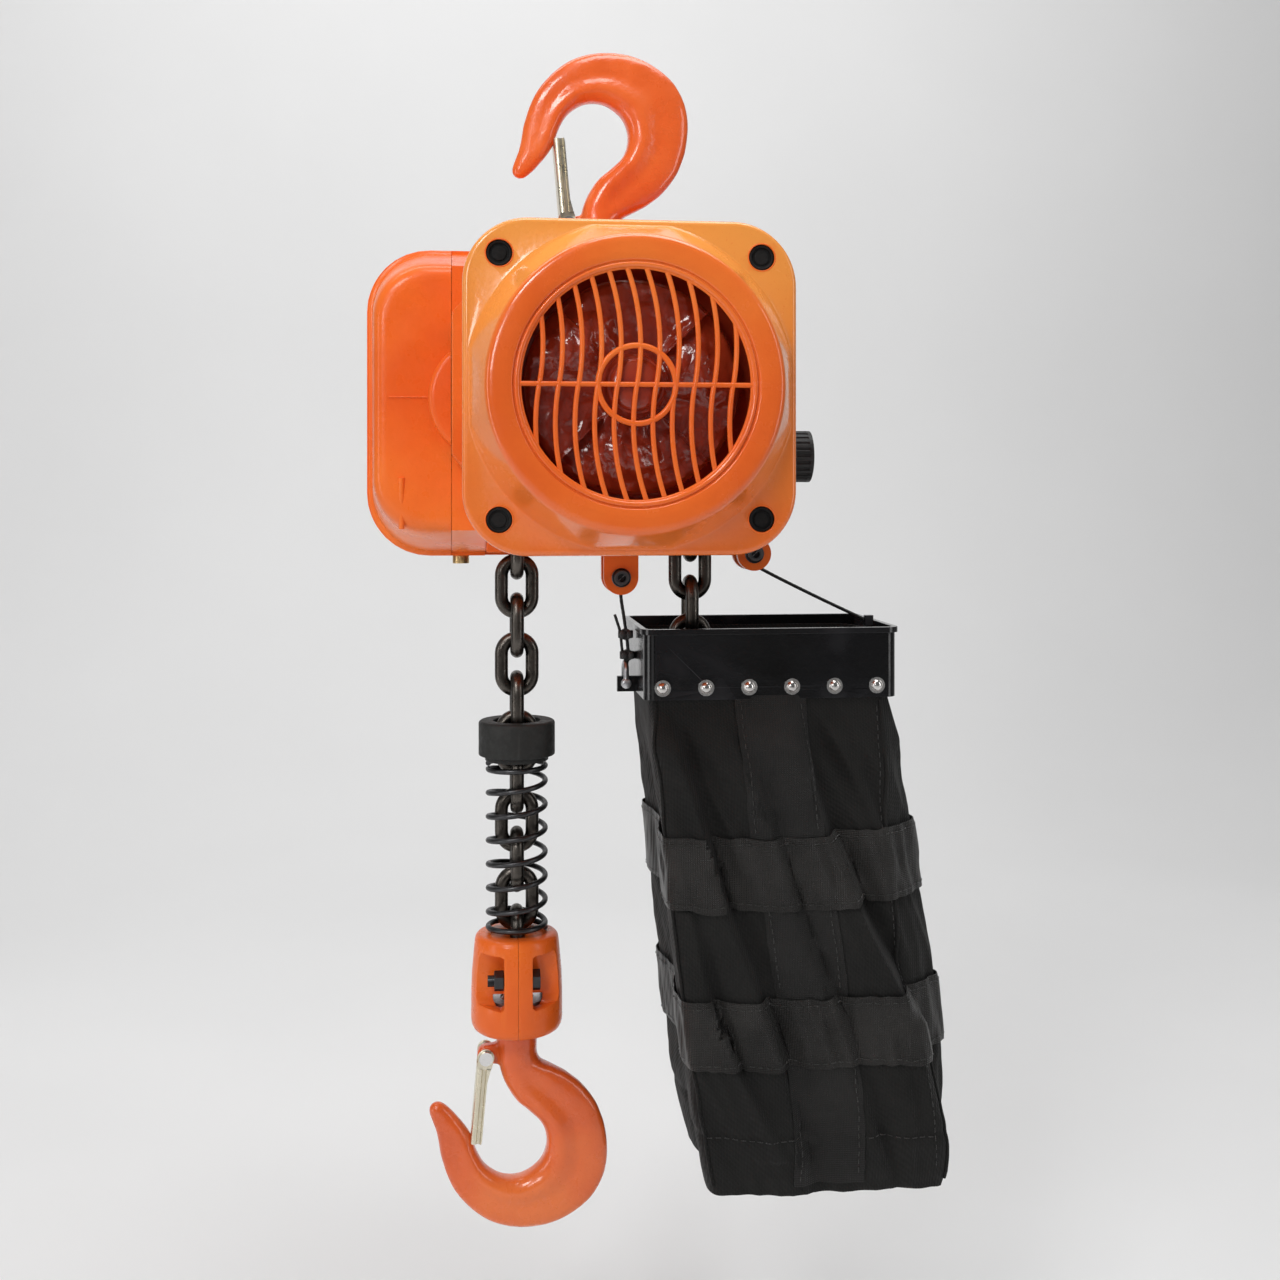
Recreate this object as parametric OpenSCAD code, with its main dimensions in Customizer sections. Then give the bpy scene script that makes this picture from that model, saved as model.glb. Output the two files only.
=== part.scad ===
// Electric chain hoist with load chain, hook block and chain bag.
// Units are millimetres. +Z is up, -Y is the fan end and +X is the bag side. The origin is the
// load seat of the top hook. Most sub-parts are drawn about the drive axis, which runs along Y.

/* [Drive] */
// Height from the drive axis up to the seat of the top hook
drive_drop = 162; // [161:0.5:163]
// Sideways distance from the top hook to the drive axis
drive_offset = 3; // [2:0.5:4]
// Distance between the drive axis and the layshaft
gear_centres = 44; // [44:44]
// Direction of the layshaft from the drive axis, in degrees
layshaft_angle = 150; // [148:1:152]

/* [Chain] */
// Diameter of the chain wire
wire_d = 7.1; // [7:0.05:7.1]
// Pitch of the chain
pitch = 21; // [21:0.05:21.1]
// Outer width of one link
link_w = 23.6; // [23.5:0.1:23.7]
// Pockets in the chain wheel
pockets = 7; // [7:7]
// Links in the load run below the wheel
load_links = 14; // [14:14]
// Links in the slack run below the wheel
slack_links = 9; // [9:9]

/* [Body] */
// Half height of the wide rear flange
flange_half_h = 83; // [81:1:85]
// Left edge of the wide rear flange, from the drive axis
flange_left = -127.5; // [-130:0.5:-125]
// Right edge of the wide rear flange, from the drive axis
flange_right = 88; // [86:1:90]
// Wall thickness of the castings
wall = 5; // [4:0.5:6]
// Side of the square fan cover
fan_side = 154.6; // [152:0.2:157]
// Radius of the grille opening
grille_r = 52; // [50:1:54]
// Number of bars in the grille
grille_bars = 11; // [9:2:13]

/* [Hook] */
// Radius of the hook's bowl
bowl_r = 18.5; // [18.4:0.1:18.6]
// Radius of the hook's round shank
shank_r = 10.9; // [10.5:0.1:11]
// Depth from the drive axis to the centre of the bottom hook's bowl
bottom_bowl_depth = 398; // [397:0.5:400]

/* [Buffer] */
// Turns of the buffer spring
spring_turns = 8.5; // [7.5:1:9.5]
// Wire radius of the buffer spring
spring_wire_r = 1.5; // [1.2:0.1:1.6]

/* [Bag] */
// Left side of the bag frame, from the drive axis
rim_left = 18.5; // [18:0.5:20]
// Right side of the bag frame, from the drive axis
rim_right = 155; // [154:0.5:156]
// Rivets along each long side of the bag frame
rivet_count = 6; // [5:6]

/* [Hidden] */
$fn = 48;
smooth = 32;
over = 1;

// Planes along Y, from the fan end to the gearbox end
cover_front_y = -152;
plate_front_y = -130;
plate_back_y = -122;
shield_back_y = -112;
front_y = -35;
chamber_front_y = -27;
flange_y = 13;
chamber_back_y = 22;
rear_y = 30;
gasket_y = 31;
gearbox_end_y = 86;

front_half_h = 68;
front_left = -122;
split_x = -82;
chamber_half_h = 63;
guide_r = 61;
guide_half_w = 64;
guide_inner_x = 30;
plate_corner_r = 30;
plate_screw = 60.6;
motor_half = 75;
motor_corner_r = 30;
shaft_r = 10;
shaft_fit = 0.02;
plug_place = [0, -6, -29];
gland_x = -105;
gland_z = 45;
bush_bottom = 71.3;

// Chain geometry
wire_r = wire_d / 2;
bend_r = link_w / 2 - wire_r;
half_straight = pitch / 2 + 0.05 + wire_r - bend_r;
step_angle = 180 / pockets;
end_r = sqrt(pow((pitch) / sin(step_angle / 2), 2) + pow(wire_d / cos(step_angle / 2), 2)) / 2;
flat_link_r = sqrt(pow(end_r, 2) - pow((pitch + wire_d) / 2, 2));
upright_link_r = sqrt(pow(end_r, 2) - pow((pitch - wire_d) / 2, 2));
chain_x = 47.2;
load_top_z = -15;
slack_top_z = -6;
first_wrap_angle = 180 - 7.35;

// Gear trains: teeth and module
pinion_teeth = 11;
first_gear_teeth = 77;
first_module = 1;
second_pinion_teeth = 10;
output_teeth = 45;
second_module = 1.6;
pressure_angle = 25;
gear_play = 0.05;
layshaft_place = [gear_centres * cos(layshaft_angle), 0, gear_centres * sin(layshaft_angle)];

// Hook and latch, from the shank axis and the height of the bowl centre
bowl_shift = -2.7;
top_bowl_z = drive_drop - sqrt(pow(bowl_r, 2) - pow(bowl_shift, 2));
latch_pivot = [-16.7, 48];
latch_tilt = 5;
latch_len = 46;
hook_stations = [
    // x, z, width, inner half thickness, outer half thickness
    [0, 56, 21.6, 10.8, 10.8], [0, 48.4, 21.8, 10.8, 10.8], [4.1, 39.7, 28, 10.8, 9.5],
    [13.3, 30.4, 36, 10.8, 7.5], [27.3, 15.8, 37, 10.8, 6.5], [32.6, 0, 33.3, 10.8, 6.5],
    [23.7, -23.9, 33, 10.8, 6.5], [3, -33.2, 29.3, 10.5, 6.5], [-17.7, -27.2, 24.5, 9.5, 6],
    [-31.5, -9.8, 20.6, 8, 5.5], [-38.6, 10.9, 12.5, 6, 5], [-45.4, 21.7, 7.6, 3.8, 3.8]
];

// Places of the gearbox screws, x and z
gearbox_screw_places = [
    [-84, 44], [-60, 70], [34, 70], [58, 44], [58, -34], [34, -60], [-60, -60], [-84, -34]
];

// Load end, from the drive axis
collar_top_z = -171;
collar_z = -189.5;
spring_top_z = -192.5;
block_top_z = -285;
block_bottom_z = -343.5;
block_bolt_y = 17;
block_bolt_z = -306;
chain_pin_z = -294.4;

// Chain bag, from the drive axis
lug_y = 14;
left_lug = [10, -95.2];
right_lug = [84, -82.5];
rim_front_y = -30;
rim_back_y = 58;
rim_top_z = -120.5;
rim_bottom_z = -158;
rim_open = 30;
rivet_z = -151.5;
rivet_first_x = 28;
rivet_last_x = 143.5;
bag_stations = [
    // z, left, right, front, back
    [-124, 20.4, 153.1, -28.1, 56.1], [-156, 20.4, 153.1, -28.1, 56.1],
    [-182, 23, 158, -32, 60], [-227, 28, 168, -35, 63], [-307, 36, 181, -37, 65],
    [-375, 43, 188, -36, 64], [-408, 48, 186, -31, 58], [-419, 60, 174, -18, 45]
];
left_wire = [
    // x, z in the plane of the lugs
    [10.5, -101.4], [11, -108], [12.4, -117], [13.8, -127], [14.6, -134], [14.8, -140.3]
];
// x, z and tilt
wire_clamps = [[13.8, -127, -7.4], [14.75, -138.5, -2]];
shackle = [13.2, -147.5];
right_wire = [
    [86, -89], [89.5, -91.2], [97, -95.2], [110, -101.7], [125, -109], [139, -115.6], [148.4, -120]
];

// Colours
orange = [0.92, 0.36, 0.12];
dark_orange = [0.62, 0.17, 0.09];
steel = [0.62, 0.62, 0.64];
dark_steel = [0.25, 0.24, 0.23];
black = [0.07, 0.07, 0.07];
copper = [0.72, 0.4, 0.2];
yellow_zinc = [0.78, 0.66, 0.36];
bronze = [0.72, 0.52, 0.25];
grey = [0.5, 0.5, 0.52];

// ---------- Placing ----------
module on_drive() translate([drive_offset, 0, -drive_drop]) children();
module at_load() on_drive() translate([-chain_x, 0, 0]) children();
module at_slack() on_drive() translate([chain_x, 0, 0]) children();
module on_layshaft() on_drive() translate(layshaft_place) children();
// Repeats a shape at each screw of the fan cover, or of the gearbox cover
module at_plate_screws() for (x = [-plate_screw, plate_screw], z = [-plate_screw, plate_screw])
    translate([x, 0, z]) children();
module at_gearbox_screws() for (p = gearbox_screw_places) translate([p[0], 0, p[1]]) children();

// ---------- Basic shapes ----------
module rod_x(r, x0, x1) translate([x0, 0, 0]) rotate([0, 90, 0]) cylinder(r = r, h = x1 - x0);
module rod_y(r, y0, y1) translate([0, y0, 0]) rotate([-90, 0, 0]) cylinder(r = r, h = y1 - y0);
module rod_z(r, z0, z1) translate([0, 0, z0]) cylinder(r = r, h = z1 - z0);
module hex_y(r, y0, y1) translate([0, y0, 0]) rotate([-90, 0, 0]) cylinder(r = r, h = y1 - y0, $fn = 6);
module tube_y(ro, ri, y0, y1) difference() {
    rod_y(ro, y0, y1);
    rod_y(ri, y0 - over, y1 + over);
}
module tube_z(ro, ri, z0, z1) difference() {
    rod_z(ro, z0, z1);
    rod_z(ri, z0 - over, z1 + over);
}
module box(low, high) translate(low) cube(high - low);
// Extrudes a shape drawn in X and Z
module slab_y(y0, y1) translate([0, y1, 0]) rotate([90, 0, 0]) linear_extrude(y1 - y0) children();
// Turns a profile of [radius, y] points about Y
module turned_y(points) rotate([-90, 0, 0]) rotate_extrude() polygon(points);
module turned_z(points) rotate_extrude() polygon(points);
module rounded(x0, x1, z0, z1, r) hull()
    for (x = [x0 + r, x1 - r], z = [z0 + r, z1 - r]) translate([x, z]) circle(r, $fn = smooth);
module ring_of(n, r) for (i = [0 : n - 1]) rotate([0, i * 360 / n, 0]) translate([r, 0, 0]) children();

// ---------- Swept skins ----------
// Closed skin through rings of equal length; each ring turns right-handed about its travel
module skin(rings) {
    n = len(rings[0]);
    m = len(rings);
    sides = [for (i = [0 : m - 2], j = [0 : n - 1])
        let (a = i * n + j, b = i * n + (j + 1) % n) each [[a, a + n, b + n], [a, b + n, b]]];
    ends = [[for (j = [0 : n - 1]) j], [for (j = [n - 1 : -1 : 0]) (m - 1) * n + j]];
    polyhedron([for (ring = rings) each ring], concat(sides, ends), convexity = 6);
}

// Catmull-Rom value between b and c
function spline(a, b, c, d, t) =
    0.5 * (2 * b + (c - a) * t + (2 * a - 5 * b + 4 * c - d) * t * t
        + (3 * b - a - 3 * c + d) * t * t * t);

// Smooth list through the stations, with the given steps between each pair
function smoothed(s, steps) = let (n = len(s)) concat(
    [for (i = [0 : n - 2], k = [0 : steps - 1])
        spline(s[max(i - 1, 0)], s[i], s[i + 1], s[min(i + 2, n - 1)], k / steps)],
    [s[n - 1]]);

function direction(path, i) =
    let (d = path[min(i + 1, len(path) - 1)] - path[max(i - 1, 0)]) [d[0], d[1]] / norm([d[0], d[1]]);

// Ring across a path drawn in X and Z; the half thickness runs from inner to outer edge
function cross_ring(p, dir, sides) = [for (j = [0 : sides - 1])
    let (t = (j + 0.5) * 360 / sides, u = p[2] / 2 * cos(t),
        h = p[4] + (p[3] - p[4]) * (1 + cos(t)) / 2)
    [p[0] + dir[1] * u, h * sin(t), p[1] - dir[0] * u]];

module flat_sweep(stations, steps, sides) {
    path = smoothed(stations, steps);
    skin([for (i = [0 : len(path) - 1]) cross_ring(path[i], direction(path, i), sides)]);
}

// Round wire along a route of [x, z] points
module wire(route, r) flat_sweep([for (p = route) [p[0], p[1], 2 * r, r, r]], 3, 8);

// Round coil about Z; its end turns are closed
module coil(r, wire_radius, z0, z1, turns, per_turn) {
    n = round(turns * per_turn);
    rise = z1 - z0 - 2 * wire_radius;
    dead = 1;
    skin([for (i = [0 : n])
        let (a = i * 360 / per_turn, turn = i / per_turn,
            live = min(max((turn - dead) / (turns - 2 * dead), 0), 1),
            low = min(turn, dead) + max(turn - turns + dead, 0),
            z = z0 + wire_radius + low * 2.05 * wire_radius + live * (rise - 4.1 * wire_radius * dead))
        [for (j = [0 : 7]) let (t = (j + 0.5) * 45, q = r + wire_radius * sin(t))
            [q * cos(a), q * sin(a), z + wire_radius * cos(t)]]]);
}

// ---------- Chain ----------
// One link in the plane of X and Z, long along Z
module link() {
    for (s = [-1, 1]) translate([s * bend_r, 0, 0]) rod_z(wire_r, -half_straight, half_straight);
    for (s = [-1, 1]) translate([0, 0, s * half_straight]) rotate([s * 90, 0, 0])
        rotate_extrude(angle = 180) translate([bend_r, 0]) circle(wire_r);
}

// A straight run of links going down from z0; the first lies face on
module chain_run(z0, count) for (k = [0 : count - 1])
    translate([0, 0, z0 - k * pitch]) rotate([0, 0, (k % 2) * 90]) link();

// Links that ride on the wheel: flat ones in the pockets and upright ones between them
module wrap_links() for (k = [0 : pockets - 1]) {
    angle = first_wrap_angle - k * step_angle;
    upright = k % 2 == 1;
    rotate([0, -angle, 0]) translate([upright ? upright_link_r : flat_link_r, 0, 0])
        rotate([0, 0, upright ? 0 : 90]) link();
}

module load_chain() color(dark_steel) at_load() chain_run(load_top_z, load_links);
module slack_chain() color(dark_steel) at_slack() chain_run(slack_top_z, slack_links);
module wrapped_chain() color(dark_steel) on_drive() wrap_links();

// Links lying in the bottom of the bag in three rows
module chain_pile() color(dark_steel) on_drive() for (row = [-1 : 1], k = [0 : 4])
    translate([78 + 19 * k + 2 * row, lug_y + 27 * row, -398]) rotate([0, 90, 0])
        rotate([0, 0, k % 2 == 0 ? 45 : -45]) link();

// ---------- Gears ----------
function polar(r, a) = [r * cos(a), r * sin(a)];
function roll_angle(rb, r) = let (a = acos(min(rb / r, 1))) tan(a) * 180 / PI - a;
function half_tooth(teeth, m, rb, r) = let (rp = teeth * m / 2)
    90 / teeth - gear_play / rp * 180 / PI + roll_angle(rb, rp) - roll_angle(rb, max(r, rb));
function gear_outline(teeth, m, phase) =
    let (rp = teeth * m / 2, rb = rp * cos(pressure_angle), tip = rp + 0.8 * m, root = rp - 1.15 * m,
        radii = rb > root ? [root, rb, (rb + tip) / 2, tip] : [root, (root + tip) / 2, tip],
        last = len(radii) - 1)
    [for (i = [0 : teeth - 1]) let (c = phase + i * 360 / teeth) each concat(
        [for (r = radii) polar(r, c - half_tooth(teeth, m, rb, r))],
        [for (k = [last : -1 : 0]) polar(radii[k], c + half_tooth(teeth, m, rb, radii[k]))])];
module gear(teeth, m, phase, y0, y1, bore) difference() {
    slab_y(y0, y1) polygon(gear_outline(teeth, m, phase));
    if (bore > 0) rod_y(bore, y0 - over, y1 + over);
}

// ---------- Body castings ----------
// Outer form of the body, from the front face back to the rear flange
module body_form(inset) hull() {
    slab_y(front_y + inset, front_y + inset + over) rounded(front_left + inset, 83 - inset,
        -front_half_h + inset, front_half_h - inset, 28 - inset);
    slab_y(flange_y - over, flange_y) rounded(flange_left + 3 + inset, flange_right - 2 - inset,
        -flange_half_h + 2 + inset, flange_half_h - 2 - inset, 32 - inset);
}

module lug_plate(hole, x_root, y0, y1) {
    translate([hole[0], 0, hole[1]]) rod_y(9.5, y0, y1);
    box([x_root - 9.5, y0, hole[1]], [x_root + 9.5, y1, -60]);
}

module main_frame() color(orange) on_drive() difference() {
    union() {
        intersection() {
            body_form(0);
            box([split_x, front_y - over, -100], [100, flange_y, 100]);
        }
        slab_y(flange_y, rear_y)
            rounded(flange_left, flange_right, -flange_half_h, flange_half_h, 34);
        translate([-drive_offset, 0, 0]) rod_z(24, chamber_half_h + 2, 88);
        for (y = [[5, 9], [19, 23]]) {
            lug_plate(left_lug, left_lug[0], y[0], y[1]);
            lug_plate(right_lug, right_lug[0] - 6, y[0], y[1]);
        }
        translate(plug_place) rod_x(17, 70, 90);
    }
    box([-74, chamber_front_y, -chamber_half_h], [78, chamber_back_y, chamber_half_h]);
    at_gearbox_screws() rod_y(2.5, 23.5, rear_y + over);
    for (s = [-1, 1]) scale([s, 1, 1])
        box([guide_inner_x, -20, -100], [guide_half_w, 20, -chamber_half_h + over]);
    slab_y(flange_y - over, 24) rounded(flange_left + 6, split_x - 4, -76, 76, 20);
    rod_y(31, front_y - over, chamber_front_y + over);
    rod_y(31, chamber_back_y - over, rear_y + over);
    translate([-drive_offset, 0, 0]) rod_z(17, chamber_half_h - over, bush_bottom);
    translate([-drive_offset, 0, 0]) rod_z(14, 70, 90);
    translate(layshaft_place) rod_y(11, chamber_back_y - over, rear_y + over);
    for (hole = [left_lug, right_lug]) translate([hole[0], 0, hole[1]]) rod_y(3.6, 0, 26);
    for (z = [-gland_z, gland_z]) translate([gland_x, 0, z]) rod_y(8.5, 20, rear_y + over);
    translate(plug_place) rod_x(10, 76, 92);
    translate([-77, 21, -88]) rod_z(2.6, 0, 12);
}

module motor_outline() rounded(-motor_half, motor_half, -motor_half, motor_half, motor_corner_r);

module motor_housing() color(orange) on_drive() difference() {
    union() {
        slab_y(shield_back_y, front_y) motor_outline();
        for (s = [-1, 1]) scale([s, 1, 1]) hull() {
            box([70, -104, -30], [82, -40, 36]);
            box([70, -104, -36], [77, -40, 42]);
        }
    }
    rod_y(69, shield_back_y - over, -42);
    rod_y(16, -44, front_y + over);
}

module motor_end_shield() color(dark_orange) on_drive() difference() {
    union() {
        slab_y(-120, shield_back_y) motor_outline();
        rod_y(24, -124, -118);
        for (a = [45 : 90 : 315]) rotate([0, a, 0]) box([20, -123, -2.5], [50, -118, 2.5]);
        tube_y(51, 47, -123, -118);
    }
    rod_y(16, -130, -115);
    rod_y(12, -130, -100);
    at_plate_screws() rod_y(2.6, -126, -110);
}

// One grille bar: two arcs leaving the horizontal bar and bending opposite ways
module grille_bar(x) translate([x, 0, 0]) for (s = [0, 180]) rotate([0, s, 0]) intersection() {
    translate([-100.4, 0, 17.7]) tube_y(102.8, 101.2, -150.6, -148.2);
    box([-20, -151, 0], [20, -148, 60]);
}

// The grille bars with a steady pitch, n of them
module grille_bar_row(n) for (i = [0 : n - 1]) grille_bar((i - (n - 1) / 2) * 8.7);

module fan_cover() color(orange) on_drive() {
    difference() {
        union() {
            slab_y(plate_front_y, plate_back_y) rounded(-fan_side / 2, fan_side / 2,
                -fan_side / 2, fan_side / 2, plate_corner_r);
            turned_y([[0, -129], [76.8, -129], [76.8, plate_front_y], [67.6, -149.5],
                [67, -151], [65.5, cover_front_y], [0, cover_front_y]]);
        }
        rod_y(grille_r, -160, -140);
        turned_y([[0, -149.5], [62.5, -149.5], [72, -129], [72, -120], [0, -120]]);
        at_plate_screws() rod_y(6.1, -131, -126);
        at_plate_screws() rod_y(2.6, -131, -120);
    }
    intersection() {
        rod_y(grille_r + 2, -152, -147);
        difference() {
            union() {
                grille_bar_row(grille_bars);
                box([-grille_r - 2, -150.6, -1.2], [grille_r + 2, -148.2, 1.2]);
            }
            rod_y(17.4, -160, -140);
        }
    }
    intersection() {
        rod_y(17.4, -152, -147);
        grille_bar_row(5);
    }
    tube_y(18.4, 16.4, -151, -148.2);
    tube_y(grille_r + 1.4, grille_r - 0.2, -151, -148.2);
}

module screw_plugs() color(black) on_drive() at_plate_screws() rod_y(6, -129.4, -127.6);

// Socket head screw along Y, with its head beyond y1
module socket_screw(head_r, r, y0, y1) {
    rod_y(r, y0, y1);
    difference() {
        rod_y(head_r, y1, y1 + 3.4);
        hex_y(head_r / 2, y1 + 1.4, y1 + 4);
    }
}

module cover_screws() color(dark_steel) on_drive() {
    at_plate_screws() rod_y(2.5, -126, -114);
    at_gearbox_screws() socket_screw(4.2, 2.4, 24.5, 38);
}

module electrical_cover() color(orange) on_drive() difference() {
    union() {
        intersection() {
            body_form(0);
            box([-140, front_y - over, -100], [split_x - 0.2, flange_y, 100]);
        }
        intersection() {
            translate([-63, 0, 0]) rod_y(31, front_y - 5, front_y + 3);
            box([-110, front_y - 8, -40], [split_x - 2, front_y + 4, 40]);
        }
        translate([-108, front_y, 2]) box([-1.6, -2, -72], [1.6, 12, -40]);
    }
    intersection() {
        body_form(wall);
        box([-140, front_y, -100], [split_x - wall, flange_y + over, 100]);
    }
    box([-118, 5, -74], [split_x - wall, flange_y + over, 74]);
}

module contactor() color(grey) on_drive() {
    box([-112, -18, 22], [-90, 20, 51.5]);
    box([-109, -24, 27], [-93, -18, 47]);
    for (i = [0 : 2]) translate([-108 + i * 7, 0, 0]) box([-2, -20, 48], [2, -18, 51]);
}

module terminal_block() color(grey) on_drive() for (i = [0 : 5]) {
    difference() {
        translate([0, 0, -20 + 6.2 * i]) box([-115, -4, 0], [-92, 22, 6]);
        translate([-103.5, 0, -17 + 6.2 * i]) rod_y(1.8, -6, 2);
    }
}

module transformer() color(dark_steel) on_drive() {
    box([-112, -8, -52], [-91, 20, -25]);
    difference() {
        box([-109, -16, -49], [-94, -8, -28]);
        translate([-101.5, 0, -38.5]) rod_y(4, -20, -10);
    }
}

module gearbox_form(inset) hull() {
    slab_y(gasket_y, gasket_y + over)
        rounded(-92 + inset, 66 - inset, -68 + inset, 78 - inset, 30 - inset);
    slab_y(gearbox_end_y - inset - over, gearbox_end_y - inset)
        rounded(-84 + inset, 54 - inset, -54 + inset, 68 - inset, 26 - inset);
}

module gearbox_cover() color(orange) on_drive() difference() {
    union() {
        difference() {
            gearbox_form(0);
            gearbox_form(wall + 1);
            box([-78, gasket_y - over, -56], [52, gasket_y + 8, 66]);
        }
        tube_y(15, 11, 60, 82);
        translate(layshaft_place) tube_y(15, 11, 69, 82);
        at_gearbox_screws() rod_y(7, gasket_y, 38);
    }
    at_gearbox_screws() {
        rod_y(2.5, gasket_y - over, 45);
        rod_y(4.6, 38, 60);
    }
}

module gearbox_gasket() color(black) on_drive() difference() {
    slab_y(rear_y, gasket_y) rounded(-92, 66, -68, 78, 30);
    box([-72, rear_y - over, -50], [46, gasket_y + over, 60]);
    at_gearbox_screws() rod_y(2.5, rear_y - over, gasket_y + over);
}

// ---------- Motor ----------
module stator_core() color(steel) on_drive() difference() {
    rod_y(68.8, -92, -50);
    rod_y(36.6, -93, -49);
    for (a = [0 : 15 : 345]) rotate([0, a, 0]) box([36, -93, -2.2], [52, -49, 2.2]);
}

module stator_winding() color(copper) on_drive() {
    turned_y([[40, -105], [60, -105], [62, -98], [60, -92.2], [40, -92.2], [38, -98]]);
    turned_y([[40, -49.8], [60, -49.8], [62, -46], [60, -43], [40, -43], [38, -46]]);
}

module brake_coil() color(black) on_drive() tube_y(34, 14, -111.8, -103);

module brake_disc() color(dark_steel) on_drive() difference() {
    rod_y(33, -102.4, -98.6);
    rod_y(shaft_r + shaft_fit, -104, -97);
    ring_of(6, 22) rod_y(4, -104, -97);
}

module rotor_core() color(steel) on_drive() difference() {
    rod_y(36, -92, -50);
    rod_y(shaft_r + shaft_fit, -93, -49);
    ring_of(16, 31) rod_y(2, -93, -49);
}

module motor_shaft() color(steel) on_drive() {
    turned_y([[0, -147.5], [9, -147.5], [shaft_r, -146.5], [shaft_r, -43.5], [8.5, -42], [8.5, 47],
        [4.3, 49.5], [4.3, 70], [0, 70]]);
    gear(pinion_teeth, first_module, layshaft_angle, 49.5, 59.5, 4.2);
}

module cooling_fan() color(dark_orange) on_drive() difference() {
    union() {
        rod_y(17, -145, -127);
        tube_y(50, 12, -130, -127.6);
        for (a = [20 : 40 : 340]) rotate([0, a, 0]) box([14, -144, -1.2], [50, -128, 1.2]);
    }
    rod_y(shaft_r + shaft_fit, -150, -120);
}

module bearing(outer, inner, y0, y1) turned_y([[inner, y0 + 0.6], [inner + 0.6, y0], [outer - 0.6, y0],
    [outer, y0 + 0.6], [outer, y1 - 0.6], [outer - 0.6, y1], [inner + 0.6, y1], [inner, y1 - 0.6]]);

module shaft_bearings() color(steel) on_drive() {
    bearing(16, 10.04, -122, -115);
    bearing(16, 8.54, -41, -35.2);
    bearing(11, 4.34, 62, 69);
}

module wheel_bearings() color(steel) on_drive() {
    bearing(31, 20.04, -35, -27.2);
    bearing(31, 20.04, 22.2, 30);
}

module layshaft_bearings() color(steel) on_layshaft() {
    bearing(11, 6.04, 22.4, 29.4);
    bearing(11, 6.04, 70, 77);
}

// ---------- Gearing ----------
module layshaft() color(steel) on_layshaft() {
    turned_y([[0, 22.5], [6, 22.5], [6, 31.5], [6.1, 44.5], [8.6, 46], [8.6, 49.5], [6, 49.5],
        [6, 79], [0, 79]]);
    gear(second_pinion_teeth, second_module, layshaft_angle + 180, 31.5, 44.5, 5.9);
}

module first_gear() color(steel) on_layshaft() difference() {
    gear(first_gear_teeth, first_module, layshaft_angle + 180 + 180 / first_gear_teeth, 50, 59, 6.02);
    ring_of(6, 22) rod_y(7, 48, 61);
}

module output_gear() color(steel) on_drive() difference() {
    gear(output_teeth, second_module, layshaft_angle + 180 / output_teeth, 32, 44, 18.02);
    ring_of(6, 26) rod_y(4, 30, 46);
}

// Wheel with a groove for the upright links, steps under the flat ones and a pair of teeth
// between neighbouring flat links, on a hollow shaft
module chain_wheel() color(steel) on_drive() {
    turned_y([[11, -34.6], [20, -34.6], [20, -17], [53, -17], [53, -12.4], [41.4, -12.4], [41.4, -4.3],
        [34.3, -4.3], [34.3, 4.3], [41.4, 4.3], [41.4, 12.4], [53, 12.4], [53, 17], [20, 17],
        [20, 30.2], [18, 30.2], [18, 45], [11, 45]]);
    for (k = [0 : pockets - 1], s = [-1, 1])
        rotate([0, step_angle * (2 * k + 1) - first_wrap_angle, 0]) scale([1, s, 1])
            box([38, 4.6, -2.25], [49.5, 13.5, 2.25]);
}

// ---------- Chain path ----------
module chain_slots(x, z0, z1) translate([x, 0, 0]) {
    box([-4.9, -13, z0], [4.9, 13, z1]);
    box([-13, -4.9, z0], [13, 4.9, z1]);
}

module chain_guide() color(orange) on_drive() difference() {
    for (s = [-1, 1]) scale([s, 1, 1])
        box([guide_inner_x + 0.2, -19.8, -80], [guide_half_w - 0.2, 19.8, -52]);
    rod_y(guide_r, -30, 30);
    chain_slots(-chain_x, -90, -40);
    chain_slots(chain_x, -90, -40);
}

module limit_switch() color(black) on_drive() {
    box([-73, 2, -30], [-64.5, 21, -8]);
    translate([-69, 8, 0]) rod_z(1.6, -36, -30);
}

module side_plug() color(black) on_drive() translate(plug_place) {
    difference() {
        rod_x(14, 90.2, 112);
        for (a = [0 : 15 : 345]) rotate([a, 0, 0]) translate([0, 14.4, 0]) rod_x(1.1, 93, 110);
        rod_x(9, 109, 113);
    }
    rod_x(9.6, 78, 90.2);
}

module cable_gland() difference() {
    union() {
        rod_y(8.4, 22, rear_y);
        rotate([0, 30, 0]) hex_y(12.5, rear_y, 38);
        turned_y([[0, 38], [10.8, 38], [10.8, 47], [8, 52], [0, 52]]);
    }
    rod_y(5.5, 20, 54);
}
module cable_glands() color(black) on_drive()
    for (z = [-gland_z, gland_z]) translate([gland_x, 0, z]) cable_gland();

module lug_bolt() {
    rod_y(3.55, 4.6, 25.4);
    rod_y(5.4, 1, 4.9);
    hex_y(7, 23.1, 28.1);
}
module lug_bolts() color(dark_steel) on_drive()
    for (hole = [left_lug, right_lug]) translate([hole[0], 0, hole[1]]) lug_bolt();

module drain_screw() color(bronze) on_drive() translate([-77, 21, 0]) {
    rod_z(2.55, -86, -78);
    rod_z(4.5, -87.5, -83);
}

// ---------- Hooks ----------
module hook_forging(shank_top) difference() {
    union() {
        flat_sweep(hook_stations, 3, 18);
        rod_z(shank_r, 52, shank_top);
        rod_z(8.9, shank_top - over, shank_top + 7);
        hull() {
            translate([latch_pivot[0], 0, latch_pivot[1]]) rod_y(4.6, -3.4, 3.4);
            box([-8, -3.4, 40], [-7, 3.4, 54]);
        }
    }
    translate([latch_pivot[0], 0, latch_pivot[1]]) rod_y(2.5, -12, 12);
}

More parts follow.
